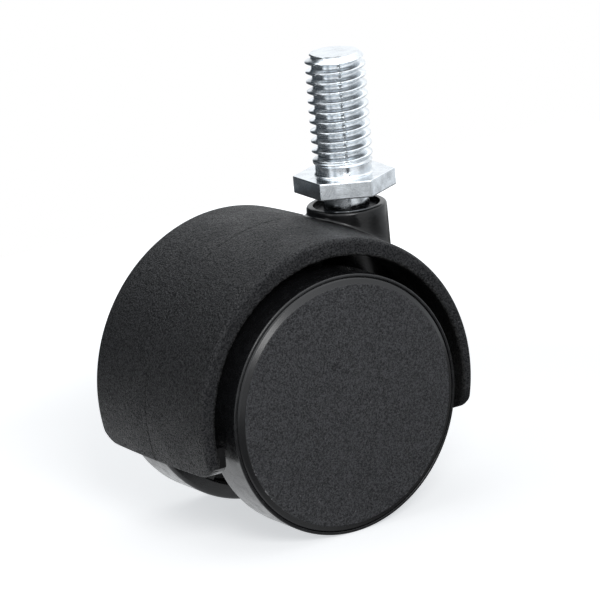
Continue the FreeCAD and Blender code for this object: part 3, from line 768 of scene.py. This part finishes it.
def skirt_drop(across, corner):
    """Depth of the housing's lower edge below the axle: level, and less by a quarter circle near each lip."""
    past = np.clip(np.abs(across) - (HOOD_HALF - corner), 0, corner)
    return (AXLE_Z - SKIRT_Z) - (corner - np.sqrt(corner ** 2 - past ** 2))


def hood_top_radius(s):
    """Outer radius of the hood about its own middle, at the top of its crown."""
    return AXLE_X - s.shift - HOUSING_LOW.x


def crown(across, s):
    """Outer radius of the hood about its own middle: it falls with the square of the distance across."""
    flat_half = HOOD_HALF - s.lip_round
    return hood_top_radius(s) - s.crown_rise * np.clip(np.abs(across) / flat_half, 0, 1) ** 2


def lip_radii(s):
    """Outer radius of the hood's lips about the hood's middle, and inner radius about the axle."""
    outer = hood_top_radius(s) - s.crown_rise
    return outer, outer - s.lip_wall


def hood_skins(s, rows=210, arc_steps=9, run_steps=97, closeness=1.8):
    """Hood wall: a closed section of (across, radius) carried round the axle, with its lower edges rounded.

    The section's outer line follows the crown between two lip arcs, and its inner line is level
    between two smaller arcs. The inner line turns about the axle, and the outer line about a middle
    lifted above it and shifted behind it. Points lie closer together near the middle, as the power
    of an even spacing, where the parting line is pressed in as a bell curve. Each end runs to the
    skirt's height, which is reached at the angle whose sine is drop / radius, and is closed by a
    strip between the outer and the inner line.
    """
    top_wall, inner_r = lip_radii(s)
    even = np.linspace(-1, 1, run_steps)
    run = np.sign(even) * np.abs(even) ** closeness
    quarter = np.linspace(0, np.pi / 2, arc_steps)

    def line(rounding, level, outward):
        """Lip arc, run and lip arc, from one side to the other."""
        half = HOOD_HALF - rounding
        arc_across = half + rounding * np.cos(quarter)
        arc_up = level - outward * rounding * (1 - np.sin(quarter))
        across = np.r_[-arc_across, run[1:-1] * half, arc_across[::-1]]
        up = np.r_[arc_up, np.full(run_steps - 2, level), arc_up[::-1]]
        return across, up

    outer_y, outer_r = line(s.lip_round, top_wall, 1)
    outer_r = outer_r + (crown(outer_y, s) - top_wall)
    inner_y, inner_up = line(s.inner_round, inner_r, -1)
    across = np.r_[outer_y, inner_y[::-1]]
    radius = np.r_[outer_r, inner_up[::-1]]
    tangent = np.stack([np.roll(across, -1) - np.roll(across, 1), np.roll(radius, -1) - np.roll(radius, 1)])
    tangent /= np.linalg.norm(tangent, axis=0)

    edge = np.linspace(0, np.pi / 2, arc_steps)
    setback = s.skirt_round * (1 - np.cos(edge))
    inset = s.skirt_round * (1 - np.sin(edge))
    share = np.r_[np.zeros(arc_steps), np.linspace(0, 1, rows)[1:-1], np.ones(arc_steps)][:, None]
    front_back = np.r_[setback, np.full(rows - 2, s.skirt_round), np.zeros(arc_steps)][:, None]
    tail_back = np.r_[np.zeros(arc_steps), np.full(rows - 2, s.skirt_round), setback[::-1]][:, None]
    shrink = np.r_[inset, np.zeros(rows - 2), inset[::-1]][:, None]

    outside = np.arange(len(across)) < len(outer_y)
    across = across + shrink * tangent[1]
    radius = radius - shrink * tangent[0]
    dip = np.arcsin((skirt_drop(across, s.skirt_corner) + s.lift * outside) / radius)
    angle = (1 - share) * (front_back / radius - dip) + share * (np.pi + dip - tail_back / radius)

    near_stem = np.exp(-((angle - 1.75) / 0.35) ** 2)
    near_tail = smooth_step(angle, 2.8, 2.95)
    pressed = s.parting_depth * np.exp(-(across / s.parting_width) ** 2) * np.maximum(near_stem, near_tail)
    radius = radius - pressed * outside
    wave = np.sin(31 * angle) + np.sin(53 * angle + 1) + np.sin(97 * angle + 2) + 1.2
    torn = 1 + 1.5 * np.exp(-((angle - 3.3) / 0.12) ** 2)
    at_lip = smooth_step(np.abs(across), HOOD_HALF - s.inner_round, HOOD_HALF - 0.1 * s.inner_round)
    lowest = smooth_step(radius, inner_r + 2 * s.inner_round, inner_r)
    radius = radius - s.flash / 3 * np.clip(wave, 0, 4) * torn * at_lip * lowest

    grid = on_axle(radius, angle, across)
    grid[..., 0] -= s.shift * outside
    grid[..., 2] += s.lift * outside
    middle = len(outer_y)
    caps = [np.stack([row[:middle], row[:middle - 1:-1]]) for row in (grid[0], grid[-1])]
    return [skin(grid, close_columns=True)] + [skin(cap) for cap in caps]


def collar_skins(s, hood, columns=160, steps=9):
    """Boss round the stem: a tapered wall with a rounded rim and a stepped socket, blended into the hood.

    The blend's radius grows by blend * (1 - cos t) while its height falls to the hood's own
    surface by blend * (1 - sin t), for t from nothing to a quarter turn.
    """
    angle = full_turn(columns)
    foot_z = DISC_LOW.z - s.foot_floor

    def wall(height):
        """Radius of the tapered wall at a height."""
        return s.rim_radius + (s.foot_radius - s.rim_radius) * (COLLAR_TOP - height) / (COLLAR_TOP - foot_z)

    def hood_height(radius):
        """Height of the hood's outer surface at a radius and every angle round the stem."""
        reach = radius * np.cos(angle) - AXLE_X + hood.shift
        return AXLE_Z + hood.lift + np.sqrt(crown(radius * np.sin(angle), hood) ** 2 - reach ** 2)

    meet = hood_height(s.rim_radius)
    wall_r = wall(meet)
    t = np.linspace(np.pi / 2, 0, steps)
    blend_r = wall_r + s.blend * (1 - np.cos(t))
    blend_z = hood_height(blend_r) + s.blend * (1 - np.sin(t))
    rise = np.linspace(0, 1, 6)[1:]
    wall_z = blend_z[:, -1:] + (COLLAR_TOP - 1.5 * s.rim_round - blend_z[:, -1:]) * rise

    floor_z = DISC_LOW.z
    socket_r = BUSH_HIGH.x
    step_z = BUSH_HIGH.z
    inside = rounded_outline([
        (s.rim_radius, COLLAR_TOP - 1.6 * s.rim_round, 0),
        (s.rim_radius, COLLAR_TOP, s.rim_round),
        (s.recess_radius, COLLAR_TOP, 0.2 * s.rim_round),
        (s.recess_radius, step_z, 0.05 * MM),
        (socket_r, step_z, 0.05 * MM),
        (socket_r, floor_z, 0.1 * MM),
        (0, floor_z, 0),
        (0, foot_z, 0),
    ])[8:-16]
    below = rounded_outline([
        (0, foot_z, 0), (s.foot_radius, foot_z, 0.3 * MM), (s.foot_radius - 0.1 * MM, foot_z + 3 * MM, 0),
    ])[8:-8]

    def level(outline):
        """The outline at every angle, as (radius, height)."""
        shape = (columns, len(outline))
        return np.broadcast_to(outline[:, 0], shape), np.broadcast_to(outline[:, 1], shape)

    pole = np.zeros((columns, 1))
    inside_r, inside_z = level(inside)
    below_r, below_z = level(below)
    buried = hood_height(blend_r[:, :1]) - 0.4 * MM
    radius = np.hstack([
        pole, below_r, wall(meet - 1 * MM), blend_r[:, :1], blend_r, wall(wall_z), inside_r, pole])
    height = np.hstack([
        pole + foot_z, below_z, meet - 1 * MM, buried, blend_z, wall_z, inside_z, pole + floor_z])
    return [skin(on_stem(radius, angle, height), close_rows=True)]


def web_skins(s, hood):
    """What stands between the wheels: web, axle boss, three stiffeners and the tail's inner rib."""
    buried = lip_radii(hood)[1] + 0.4 * hood.lip_wall
    drop = AXLE_Z - SKIRT_Z
    reach = math.sqrt(buried ** 2 - drop ** 2)
    step = SOCKET_CUT_R + np.array([-0.01, 0.01]) * MM
    x = np.sort(np.r_[AXLE_X + reach * np.sin(np.linspace(-np.pi / 2, np.pi / 2, 81)), step, -step])
    top = AXLE_Z + np.sqrt(buried ** 2 - (x - AXLE_X) ** 2)
    top = np.where(np.abs(x) < SOCKET_CUT_R, np.minimum(top, DISC_LOW.z - 1 * MM), top)
    web = plate(x, np.full(len(x), SKIRT_Z), top, s.web_half, s.edge_round, "X")
    y = np.linspace(-1, 1, 65) * (HOOD_HALF - 0.6 * MM)
    tail_half = (buried - WHEEL_R - s.tail_gap) / 2
    tail = plate(y, AXLE_Z - skirt_drop(y, hood.skirt_corner), np.full(65, AXLE_Z - s.tail_drop), tail_half,
                 s.edge_round, "Y")
    tail[..., 0] += AXLE_X - WHEEL_R - s.tail_gap - tail_half
    bore = s.boss_radius / 2 + 0.05 * MM
    boss = rounded_outline([
        (bore, -s.boss_half, 0.1 * MM), (s.boss_radius, -s.boss_half, s.edge_round),
        (s.boss_radius, s.boss_half, s.edge_round), (bore, s.boss_half, 0.1 * MM)])
    bars = [
        bar(math.radians(angle), s.boss_radius - 0.5 * MM, buried, s.stiffener_half, -s.stiffener_reach,
            s.stiffener_reach, s.edge_round)
        for angle in (90, 135, 180)
    ]
    return [skin(web, close_columns=True), skin(tail, close_columns=True), turned(boss, on_axle, 96)] + bars


def wheel_skins(s, side):
    """Wheel moulding: rim with the cover's seat, disc, hub, and ribs on the inner side."""
    inner, outer = WHEEL_LOW.y, WHEEL_HIGH.y
    rim_inner = WHEEL_R - s.rim_wall
    disc_outer = outer - s.disc_depth
    disc_inner = disc_outer - s.disc_thick
    seat_r = WHEEL_R - s.rim_lip
    seat = outer - s.cover_seat
    small, hollow = 0.1 * MM, 0.4 * MM
    outline = rounded_outline([
        (s.bore_radius, inner, small),
        (s.hub_radius, inner, 2 * small),
        (s.hub_radius, disc_inner, hollow),
        (rim_inner, disc_inner, hollow),
        (rim_inner, inner, 2 * small),
        (WHEEL_R, inner, s.rim_round),
        (WHEEL_R, outer, s.rim_lip / 2),
        (seat_r, outer, small),
        (seat_r, seat, small / 2),
        (rim_inner, seat, small),
        (rim_inner, disc_outer, hollow),
        (s.bore_radius, disc_outer, small),
    ], steps=8)
    outline[:, 1] *= side
    spokes = [
        bar(number * 2 * math.pi / s.spokes, s.hub_radius - 0.5 * MM, rim_inner + 0.5 * MM, s.spoke_half,
            *sorted((side * (inner + s.spoke_setback), side * (disc_inner + small))), 2 * small)
        for number in range(s.spokes)
    ]
    return [turned(outline, on_axle, 256)] + spokes


def face_radius(s):
    """Radius of the cover's flat face."""
    return WHEEL_R - s.rim_lip - s.cover_fit - s.cover_border


def cover_skins(s, side):
    """Wheel cover: flat face a little above a rounded border, and a snap skirt inside the rim."""
    back, face = WHEEL_HIGH.y - s.cover_seat, COVER_HIGH.y
    edge = WHEEL_R - s.rim_lip - s.cover_fit
    rim_inner = WHEEL_R - s.rim_wall
    flat_r = face_radius(s)
    border = face - s.face_step
    outline = rounded_outline([
        (0, back, 0),
        (rim_inner - s.cover_skirt, back, 0.2 * MM),
        (rim_inner - s.cover_skirt, COVER_LOW.y, 0.2 * MM),
        (rim_inner, COVER_LOW.y, 0.2 * MM),
        (rim_inner, back, 0.05 * MM),
        (edge, back, 0.1 * MM),
        (edge, back + 0.75 * MM, 0.15 * MM),
        (edge - 0.25 * MM, border - 0.4 * MM, 0.3 * MM),
        (flat_r + 0.03 * MM, border, 0.02 * MM),
        (flat_r - 0.03 * MM, face, 0.04 * MM),
        (0, face, 0),
    ], steps=8, guard=0.2)[8:-8]
    outline[:, 1] *= side
    return [turned(outline, on_axle, 256, closed=False)]


def stud_skin(s, columns=112, rows=470):
    """Threaded stud: radius from a plain profile, less the thread's groove.

    The groove's phase is height / pitch less the angle in turns, so that it rises to the right.
    Its depth goes from nothing on the crest, an eighth of the pitch wide, to 0.6134 of the pitch
    on the root, a sixth wide, and fades in over the first turn above the neck.
    """
    tip = STEM_HIGH.z
    angle = full_turn(columns)
    height = np.linspace(-s.flange_thick / 2, tip, rows)
    foot = np.clip(s.neck_foot - height, 0, s.neck_foot)
    neck = s.neck_radius + s.neck_foot - np.sqrt(s.neck_foot ** 2 - foot ** 2)
    plain = np.where(height < s.neck_length, neck, s.neck_radius + (height - s.neck_length) * 1.2)
    plain = np.minimum(plain, s.thread_radius)
    plain = np.minimum(plain, s.thread_radius - s.tip_chamfer + (tip - height))
    phase = (height / s.thread_pitch - angle / (2 * np.pi)) % 1
    away = np.abs(phase - 0.5)
    crest, root = 0.5 - 1 / 16, 1 / 12
    cut = np.clip((crest - away) / (crest - root), 0, 1)
    cut = 0.65 * cut + 0.35 * cut * cut * (3 - 2 * cut)
    fade = smooth_step(height, s.neck_length - 0.2 * MM, s.neck_length + s.thread_pitch)
    threaded = s.thread_radius - 0.6134 * s.thread_pitch * cut * fade
    radius = np.minimum(plain, threaded)
    pole = np.zeros((columns, 1))
    radius = np.hstack([pole, radius, radius[:, -1:] - 0.05 * MM, pole])
    height = np.r_[height[0], height, tip, tip]
    return skin(on_stem(radius, angle, height), close_rows=True)


def flange_skin(s):
    """Six-sided flange: a rounded hexagon, drawn in by a quarter circle along its normals at both faces."""
    corner = s.flange_flats / 2 / math.cos(math.pi / 6)
    turn = s.flange_turn + np.arange(6) * np.pi / 3
    corners = np.stack([corner * np.cos(turn), corner * np.sin(turn), np.full(6, 0.3 * MM)], axis=1)
    outline = rounded_outline(corners, steps=7)
    tangent = unit(np.roll(outline, -1, axis=0) - np.roll(outline, 1, axis=0))
    normal = np.stack([tangent[:, 1], -tangent[:, 0]], axis=1)
    quarter = np.linspace(0, np.pi / 2, 6)
    inset = np.r_[2, 1 - np.sin(quarter), 0, 0, 1 - np.sin(quarter[::-1]), 2] * s.flange_round
    sink = np.r_[0, 1 - np.cos(quarter), 2] * s.flange_round
    height = np.r_[-s.flange_thick + sink, -sink[::-1]]
    flat = outline - normal * inset[:, None, None]
    flat = np.concatenate([flat[:1] * 0, flat, flat[:1] * 0])
    height = np.broadcast_to(np.r_[height[0], height, height[-1]][:, None], flat.shape[:2])
    return skin(np.dstack([flat, height]), close_columns=True)


def pintle_skin(s):
    """Pintle: a pin blended into the flange's underside, with a ring groove and a chamfered tip."""
    tip = STEM_LOW.z
    ring_low, ring_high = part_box("stem_retaining_ring")
    groove_r = s.pintle_radius - s.groove_depth
    under = -s.flange_thick
    outline = rounded_outline([
        (0, under / 2, 0),
        (s.pintle_radius + 1.1 * s.pintle_blend, under / 2, 0),
        (s.pintle_radius + 1.1 * s.pintle_blend, under, 0),
        (s.pintle_radius, under, s.pintle_blend),
        (s.pintle_radius, ring_high.z + 0.05 * MM, 0.03 * MM),
        (groove_r, ring_high.z + 0.05 * MM, 0.05 * MM),
        (groove_r, ring_low.z - 0.05 * MM, 0.05 * MM),
        (s.pintle_radius, ring_low.z - 0.05 * MM, 0.03 * MM),
        (s.pintle_radius, tip + 1.2 * MM, 0.2 * MM),
        (s.pintle_radius - 1.2 * MM, tip, 0.2 * MM),
        (0, tip, 0),
    ], guard=0.1)
    return turned(outline, on_stem, 128, closed=False)


# ---------------------------------------------------------------- operators

class CASTER_OT_hood(bpy.types.Operator):
    """Make the hood over the wheels"""
    bl_idname = "caster.hood"
    bl_label = "Hood"

    def execute(self, context):
        scene = context.scene
        hood = add_piece("hood_shell", hood_skins(scene.caster_hood), grained_hood(scene.caster_colours),
                         "housing", "housing")
        bore(hood, SOCKET_CUT_R, STEM_LOW.z, COLLAR_TOP)
        return {"FINISHED"}


class CASTER_OT_collar(bpy.types.Operator):
    """Make the collar and socket boss round the stem"""
    bl_idname = "caster.collar"
    bl_label = "Collar"

    def execute(self, context):
        scene = context.scene
        skins = collar_skins(scene.caster_collar, scene.caster_hood)
        add_piece("stem_collar", skins, smooth_collar(scene.caster_colours),
                  "housing", "housing")
        return {"FINISHED"}


class CASTER_OT_web(bpy.types.Operator):
    """Make the web, axle boss and ribs between the wheels"""
    bl_idname = "caster.web"
    bl_label = "Centre web"

    def execute(self, context):
        scene = context.scene
        skins = web_skins(scene.caster_web, scene.caster_hood)
        finish = bpy.data.materials["satin_black_collar"]
        add_piece("centre_web", skins, finish, "housing", "housing")
        return {"FINISHED"}


class CASTER_OT_wheels(bpy.types.Operator):
    """Make both wheel mouldings"""
    bl_idname = "caster.wheels"
    bl_label = "Wheels"

    def execute(self, context):
        finish = glossy_wheel(context.scene.caster_colours)
        for name, side in SIDES.items():
            add_piece(f"wheel_moulding_{name}", wheel_skins(context.scene.caster_wheel, side), finish,
                      f"wheel_{name}", f"wheel_{name}")
        return {"FINISHED"}


class CASTER_OT_covers(bpy.types.Operator):
    """Make both wheel covers"""
    bl_idname = "caster.covers"
    bl_label = "Wheel covers"

    def execute(self, context):
        sizes = context.scene.caster_wheel
        finish = grained_cover(context.scene.caster_colours, face_radius(sizes))
        for name, side in SIDES.items():
            add_piece(f"cover_disc_{name}", cover_skins(sizes, side), finish,
                      f"wheel_{name}", f"wheel_cover_{name}")
        return {"FINISHED"}


class CASTER_OT_stem(bpy.types.Operator):
    """Make the threaded stud, its flange and its pintle"""
    bl_idname = "caster.stem"
    bl_label = "Stem"

    def execute(self, context):
        sizes = context.scene.caster_stem
        skins = [stud_skin(sizes), flange_skin(sizes), pintle_skin(sizes)]
        add_piece("threaded_stem", skins, bright_zinc(context.scene.caster_colours),
                  "stem", "stem", crease=32)
        return {"FINISHED"}


class CASTER_OT_hardware(bpy.types.Operator):
    """Give the axle, washers, ring, thrust disc and bush their finishes"""
    bl_idname = "caster.hardware"
    bl_label = "Hardware finishes"

    def execute(self, context):
        colours = context.scene.caster_colours
        spring = oiled_spring(colours)
        finishes = {
            "axle": ground_steel(colours),
            "axle_lock_washer_left": spring,
            "axle_lock_washer_right": spring,
            "stem_retaining_ring": spring,
            "thrust_disc": spring,
            "stem_bush": bush_in_painted_shade(colours),
        }
        for name, finish in finishes.items():
            node = frame["nodes"][name]
            node.data.materials.clear()
            node.data.materials.append(finish)
        return {"FINISHED"}


class CASTER_OT_stage(bpy.types.Operator):
    """Set up camera, floor, softboxes and surroundings"""
    bl_idname = "caster.stage"
    bl_label = "Stage"

    def execute(self, context):
        settings = context.scene.caster_stage
        place_camera(settings)
        lay_floor()
        hang_softboxes(settings)
        light_surroundings(settings)
        context.scene.view_settings.view_transform = "Standard"
        return {"FINISHED"}


# ---------------------------------------------------------------- stage

def heading(azimuth, elevation):
    """Direction to a point at an azimuth and elevation, seen from the caster."""
    level = math.cos(elevation)
    return Vector((math.sin(azimuth) * level, -math.cos(azimuth) * level, math.sin(elevation)))


def place_camera(settings):
    """Camera that looks at the middle of the caster, rolled a little about its own axis."""
    back = heading(settings.azimuth, settings.elevation)
    right = (-back).cross(Vector((0, 0, 1))).normalized()
    up = right.cross(-back)
    turned_right = right * math.cos(settings.roll) + up * math.sin(settings.roll)
    turned_up = up * math.cos(settings.roll) - right * math.sin(settings.roll)
    camera = bpy.data.objects.new("camera", bpy.data.cameras.new("camera"))
    camera.data.lens = settings.lens
    camera.data.sensor_width = SENSOR_WIDTH
    camera.data.clip_start = 0.05
    axes = Matrix((turned_right, turned_up, back)).transposed().to_4x4()
    camera.matrix_world = Matrix.Translation(CAMERA_TARGET + back * settings.distance) @ axes
    bpy.context.scene.collection.objects.link(camera)
    bpy.context.scene.camera = camera


def lay_floor():
    """Pale floor under the wheels, white to the camera where nothing shades it, and clear from below.

    To gloss it is bright on a patch behind the tail, and dim elsewhere.
    """
    half = FLOOR_HALF
    mesh = bpy.data.meshes.new("floor")
    level = FLOOR_Z - 0.02 * MM
    corners = [(-half, -half, level), (half, -half, level), (half, half, level), (-half, half, level)]
    mesh.from_pydata(corners, [], [(0, 1, 2, 3)])
    material = bpy.data.materials.new("pale_floor")
    material.use_nodes = True
    tree = material.node_tree
    tree.nodes.clear()
    rays = wire(tree, "LightPath", {})
    place = wire(tree, "TexCoord", {})["Object"]
    away = wire(tree, "VectorMath", {0: place}, operation="LENGTH")["Value"]
    shine = calculate(tree, "MAXIMUM", rays["Is Glossy Ray"], rays["Is Transmission Ray"])
    behind_tail = wire(tree, "VectorMath", {0: place, 1: LIT_PATCH}, operation="DISTANCE")["Value"]
    near = ramp(tree, behind_tail, 60 * MM, 35 * MM)
    far_gloss = calculate(tree, "MULTIPLY", shine, calculate(tree, "SUBTRACT", 1.0, near))
    dim = ramp(tree, far_gloss, 0, 1, 1, 0.3)
    tone = ramp(tree, noise(tree, place, 40 * MM), 0.3, 0.7, 0.86, 0.9)
    tone = calculate(tree, "MULTIPLY", tone, dim)
    colour = wire(tree, "CombineColor", {0: tone, 1: tone, 2: tone})[0]
    matt = wire(tree, "BsdfDiffuse", {"Color": colour})[0]
    fade_in = ramp(tree, away, 90 * MM, 150 * MM, 0.62, 1.0)
    seen = calculate(tree, "MULTIPLY", rays["Is Camera Ray"], fade_in)
    bright = calculate(tree, "MULTIPLY", shine, calculate(tree, "MULTIPLY", near, 0.9))
    strength = calculate(tree, "MAXIMUM", seen, bright)
    glow = wire(tree, "Emission", {"Color": (0.95, 0.975, 1, 1), "Strength": strength})[0]
    lit = wire(tree, "AddShader", {0: matt, 1: glow})[0]
    clear = wire(tree, "BsdfTransparent", {})[0]
    behind = wire(tree, "NewGeometry", {})["Backfacing"]
    surface = wire(tree, "MixShader", {0: behind, 1: lit, 2: clear})[0]
    wire(tree, "OutputMaterial", {"Surface": surface})
    mesh.materials.append(material)
    floor = bpy.data.objects.new("floor", mesh)
    bpy.context.scene.collection.objects.link(floor)


def hang_softboxes(settings):
    """Softboxes that face the caster: key above and right of the camera, and a wide one overhead."""
    centre = Vector((AXLE_X, 0, AXLE_Z))
    key = heading(settings.azimuth + KEY_HEADING, KEY_ELEVATION)
    overhead = Vector((-0.25, 0.2, 1)).normalized()
    boxes = {
        "key_softbox": (key, KEY_WIDTH, settings.key_power),
        "top_softbox": (overhead, TOP_WIDTH, settings.top_power),
    }
    for name, (direction, width, power) in boxes.items():
        light = bpy.data.lights.new(name, "AREA")
        light.shape = "SQUARE"
        light.size = width
        light.energy = power
        lamp = bpy.data.objects.new(name, light)
        lamp.location = centre + direction * SOFTBOX_DISTANCE
        lamp.rotation_euler = direction.to_track_quat("Z", "Y").to_euler()
        bpy.context.scene.collection.objects.link(lamp)


def light_surroundings(settings):
    """White to the camera, a studio with panels to gloss, and an even ambient light to rough surfaces.

    Brightness to gloss is the product of the panels' tones, times a value that rises with height.
    On the dark side, what lies below the horizon is a little brighter than the panel.
    """
    world = bpy.data.worlds.new("studio")
    bpy.context.scene.world = world
    world.use_nodes = True
    tree = world.node_tree
    tree.nodes.clear()
    rays = wire(tree, "LightPath", {})
    way = wire(tree, "TexCoord", {})["Generated"]
    height = wire(tree, "SeparateXYZ", {0: way})[2]
    ahead = heading(settings.azimuth, 0)
    right = Vector((-ahead.y, ahead.x, 0))
    first = wire(tree, "VectorMath", {0: way, 1: ahead}, operation="DOT_PRODUCT")["Value"]
    second = wire(tree, "VectorMath", {0: way, 1: right}, operation="DOT_PRODUCT")["Value"]
    round_camera = calculate(tree, "ARCTAN2", second, first)
    low = ramp(tree, height, 0.85, 0.6)

    def panel(middle, half, soft, tone):
        """Factor that is tone within half of a heading and low down, and 1 elsewhere."""
        inside = band(tree, round_camera, *(math.radians(angle) for angle in (middle, half, soft)))
        return ramp(tree, calculate(tree, "MULTIPLY", inside, low), 0, 1, 1, tone)

    below = calculate(tree, "MULTIPLY", ramp(tree, height, -0.14, -0.25), BELOW_TONE)
    level = calculate(tree, "MAXIMUM", panel(*DARK_SIDE), below)
    for sizes in PANELS:
        level = calculate(tree, "MULTIPLY", level, panel(*sizes))
    level = calculate(tree, "MULTIPLY", level, ramp(tree, height, 0.2, 0.8, 1.05, 1.8))
    studio = blend_colour(tree, level, (0.75, 0.88, 1.0, 1), (0.96, 0.98, 1.0, 1))
    glossy = calculate(tree, "MAXIMUM", rays["Is Glossy Ray"], rays["Is Transmission Ray"])
    colour = blend_colour(tree, glossy, (0.97, 0.985, 1, 1), studio)
    colour = blend_colour(tree, rays["Is Camera Ray"], colour, (1, 1, 1, 1))
    shine = blend_number(tree, glossy, settings.ambient, level)
    final = blend_number(tree, rays["Is Camera Ray"], shine, 1.0)
    background = wire(tree, "Background", {"Color": colour, "Strength": final})[0]
    wire(tree, "OutputWorld", {"Surface": background})


# ---------------------------------------------------------------- panel and registration

class CASTER_PT_panel(bpy.types.Panel):
    """Lists the caster's pieces and its stage"""
    bl_idname = "CASTER_PT_panel"
    bl_label = "Swivel Caster"
    bl_space_type = "VIEW_3D"
    bl_region_type = "UI"
    bl_category = "Caster"

    def draw(self, context):
        for operator in OPERATORS:
            self.layout.operator(operator.bl_idname)
        for name, group in SETTINGS.items():
            box = self.layout.box()
            box.label(text=group.__doc__)
            for setting in group.__annotations__:
                box.prop(getattr(context.scene, name), setting)


SETTINGS = {
    "caster_hood": HoodSizes,
    "caster_collar": CollarSizes,
    "caster_web": WebSizes,
    "caster_wheel": WheelSizes,
    "caster_stem": StemSizes,
    "caster_colours": FinishColours,
    "caster_stage": StageSettings,
}
OPERATORS = (
    CASTER_OT_stage, CASTER_OT_hood, CASTER_OT_collar, CASTER_OT_web, CASTER_OT_wheels, CASTER_OT_covers,
    CASTER_OT_stem, CASTER_OT_hardware,
)
CLASSES = (*SETTINGS.values(), *OPERATORS, CASTER_PT_panel)


def register():
    """Register the classes and hang each group of settings on the scene."""
    for item in CLASSES:
        bpy.utils.register_class(item)
    for name, group in SETTINGS.items():
        setattr(bpy.types.Scene, name, PointerProperty(type=group))


def unregister():
    """Undo register."""
    for name in SETTINGS:
        delattr(bpy.types.Scene, name)
    for item in reversed(CLASSES):
        bpy.utils.unregister_class(item)


def main():
    register()
    for operator in OPERATORS:
        area, name = operator.bl_idname.split(".")
        getattr(getattr(bpy.ops, area), name)()


if __name__ == "__main__":
    main()
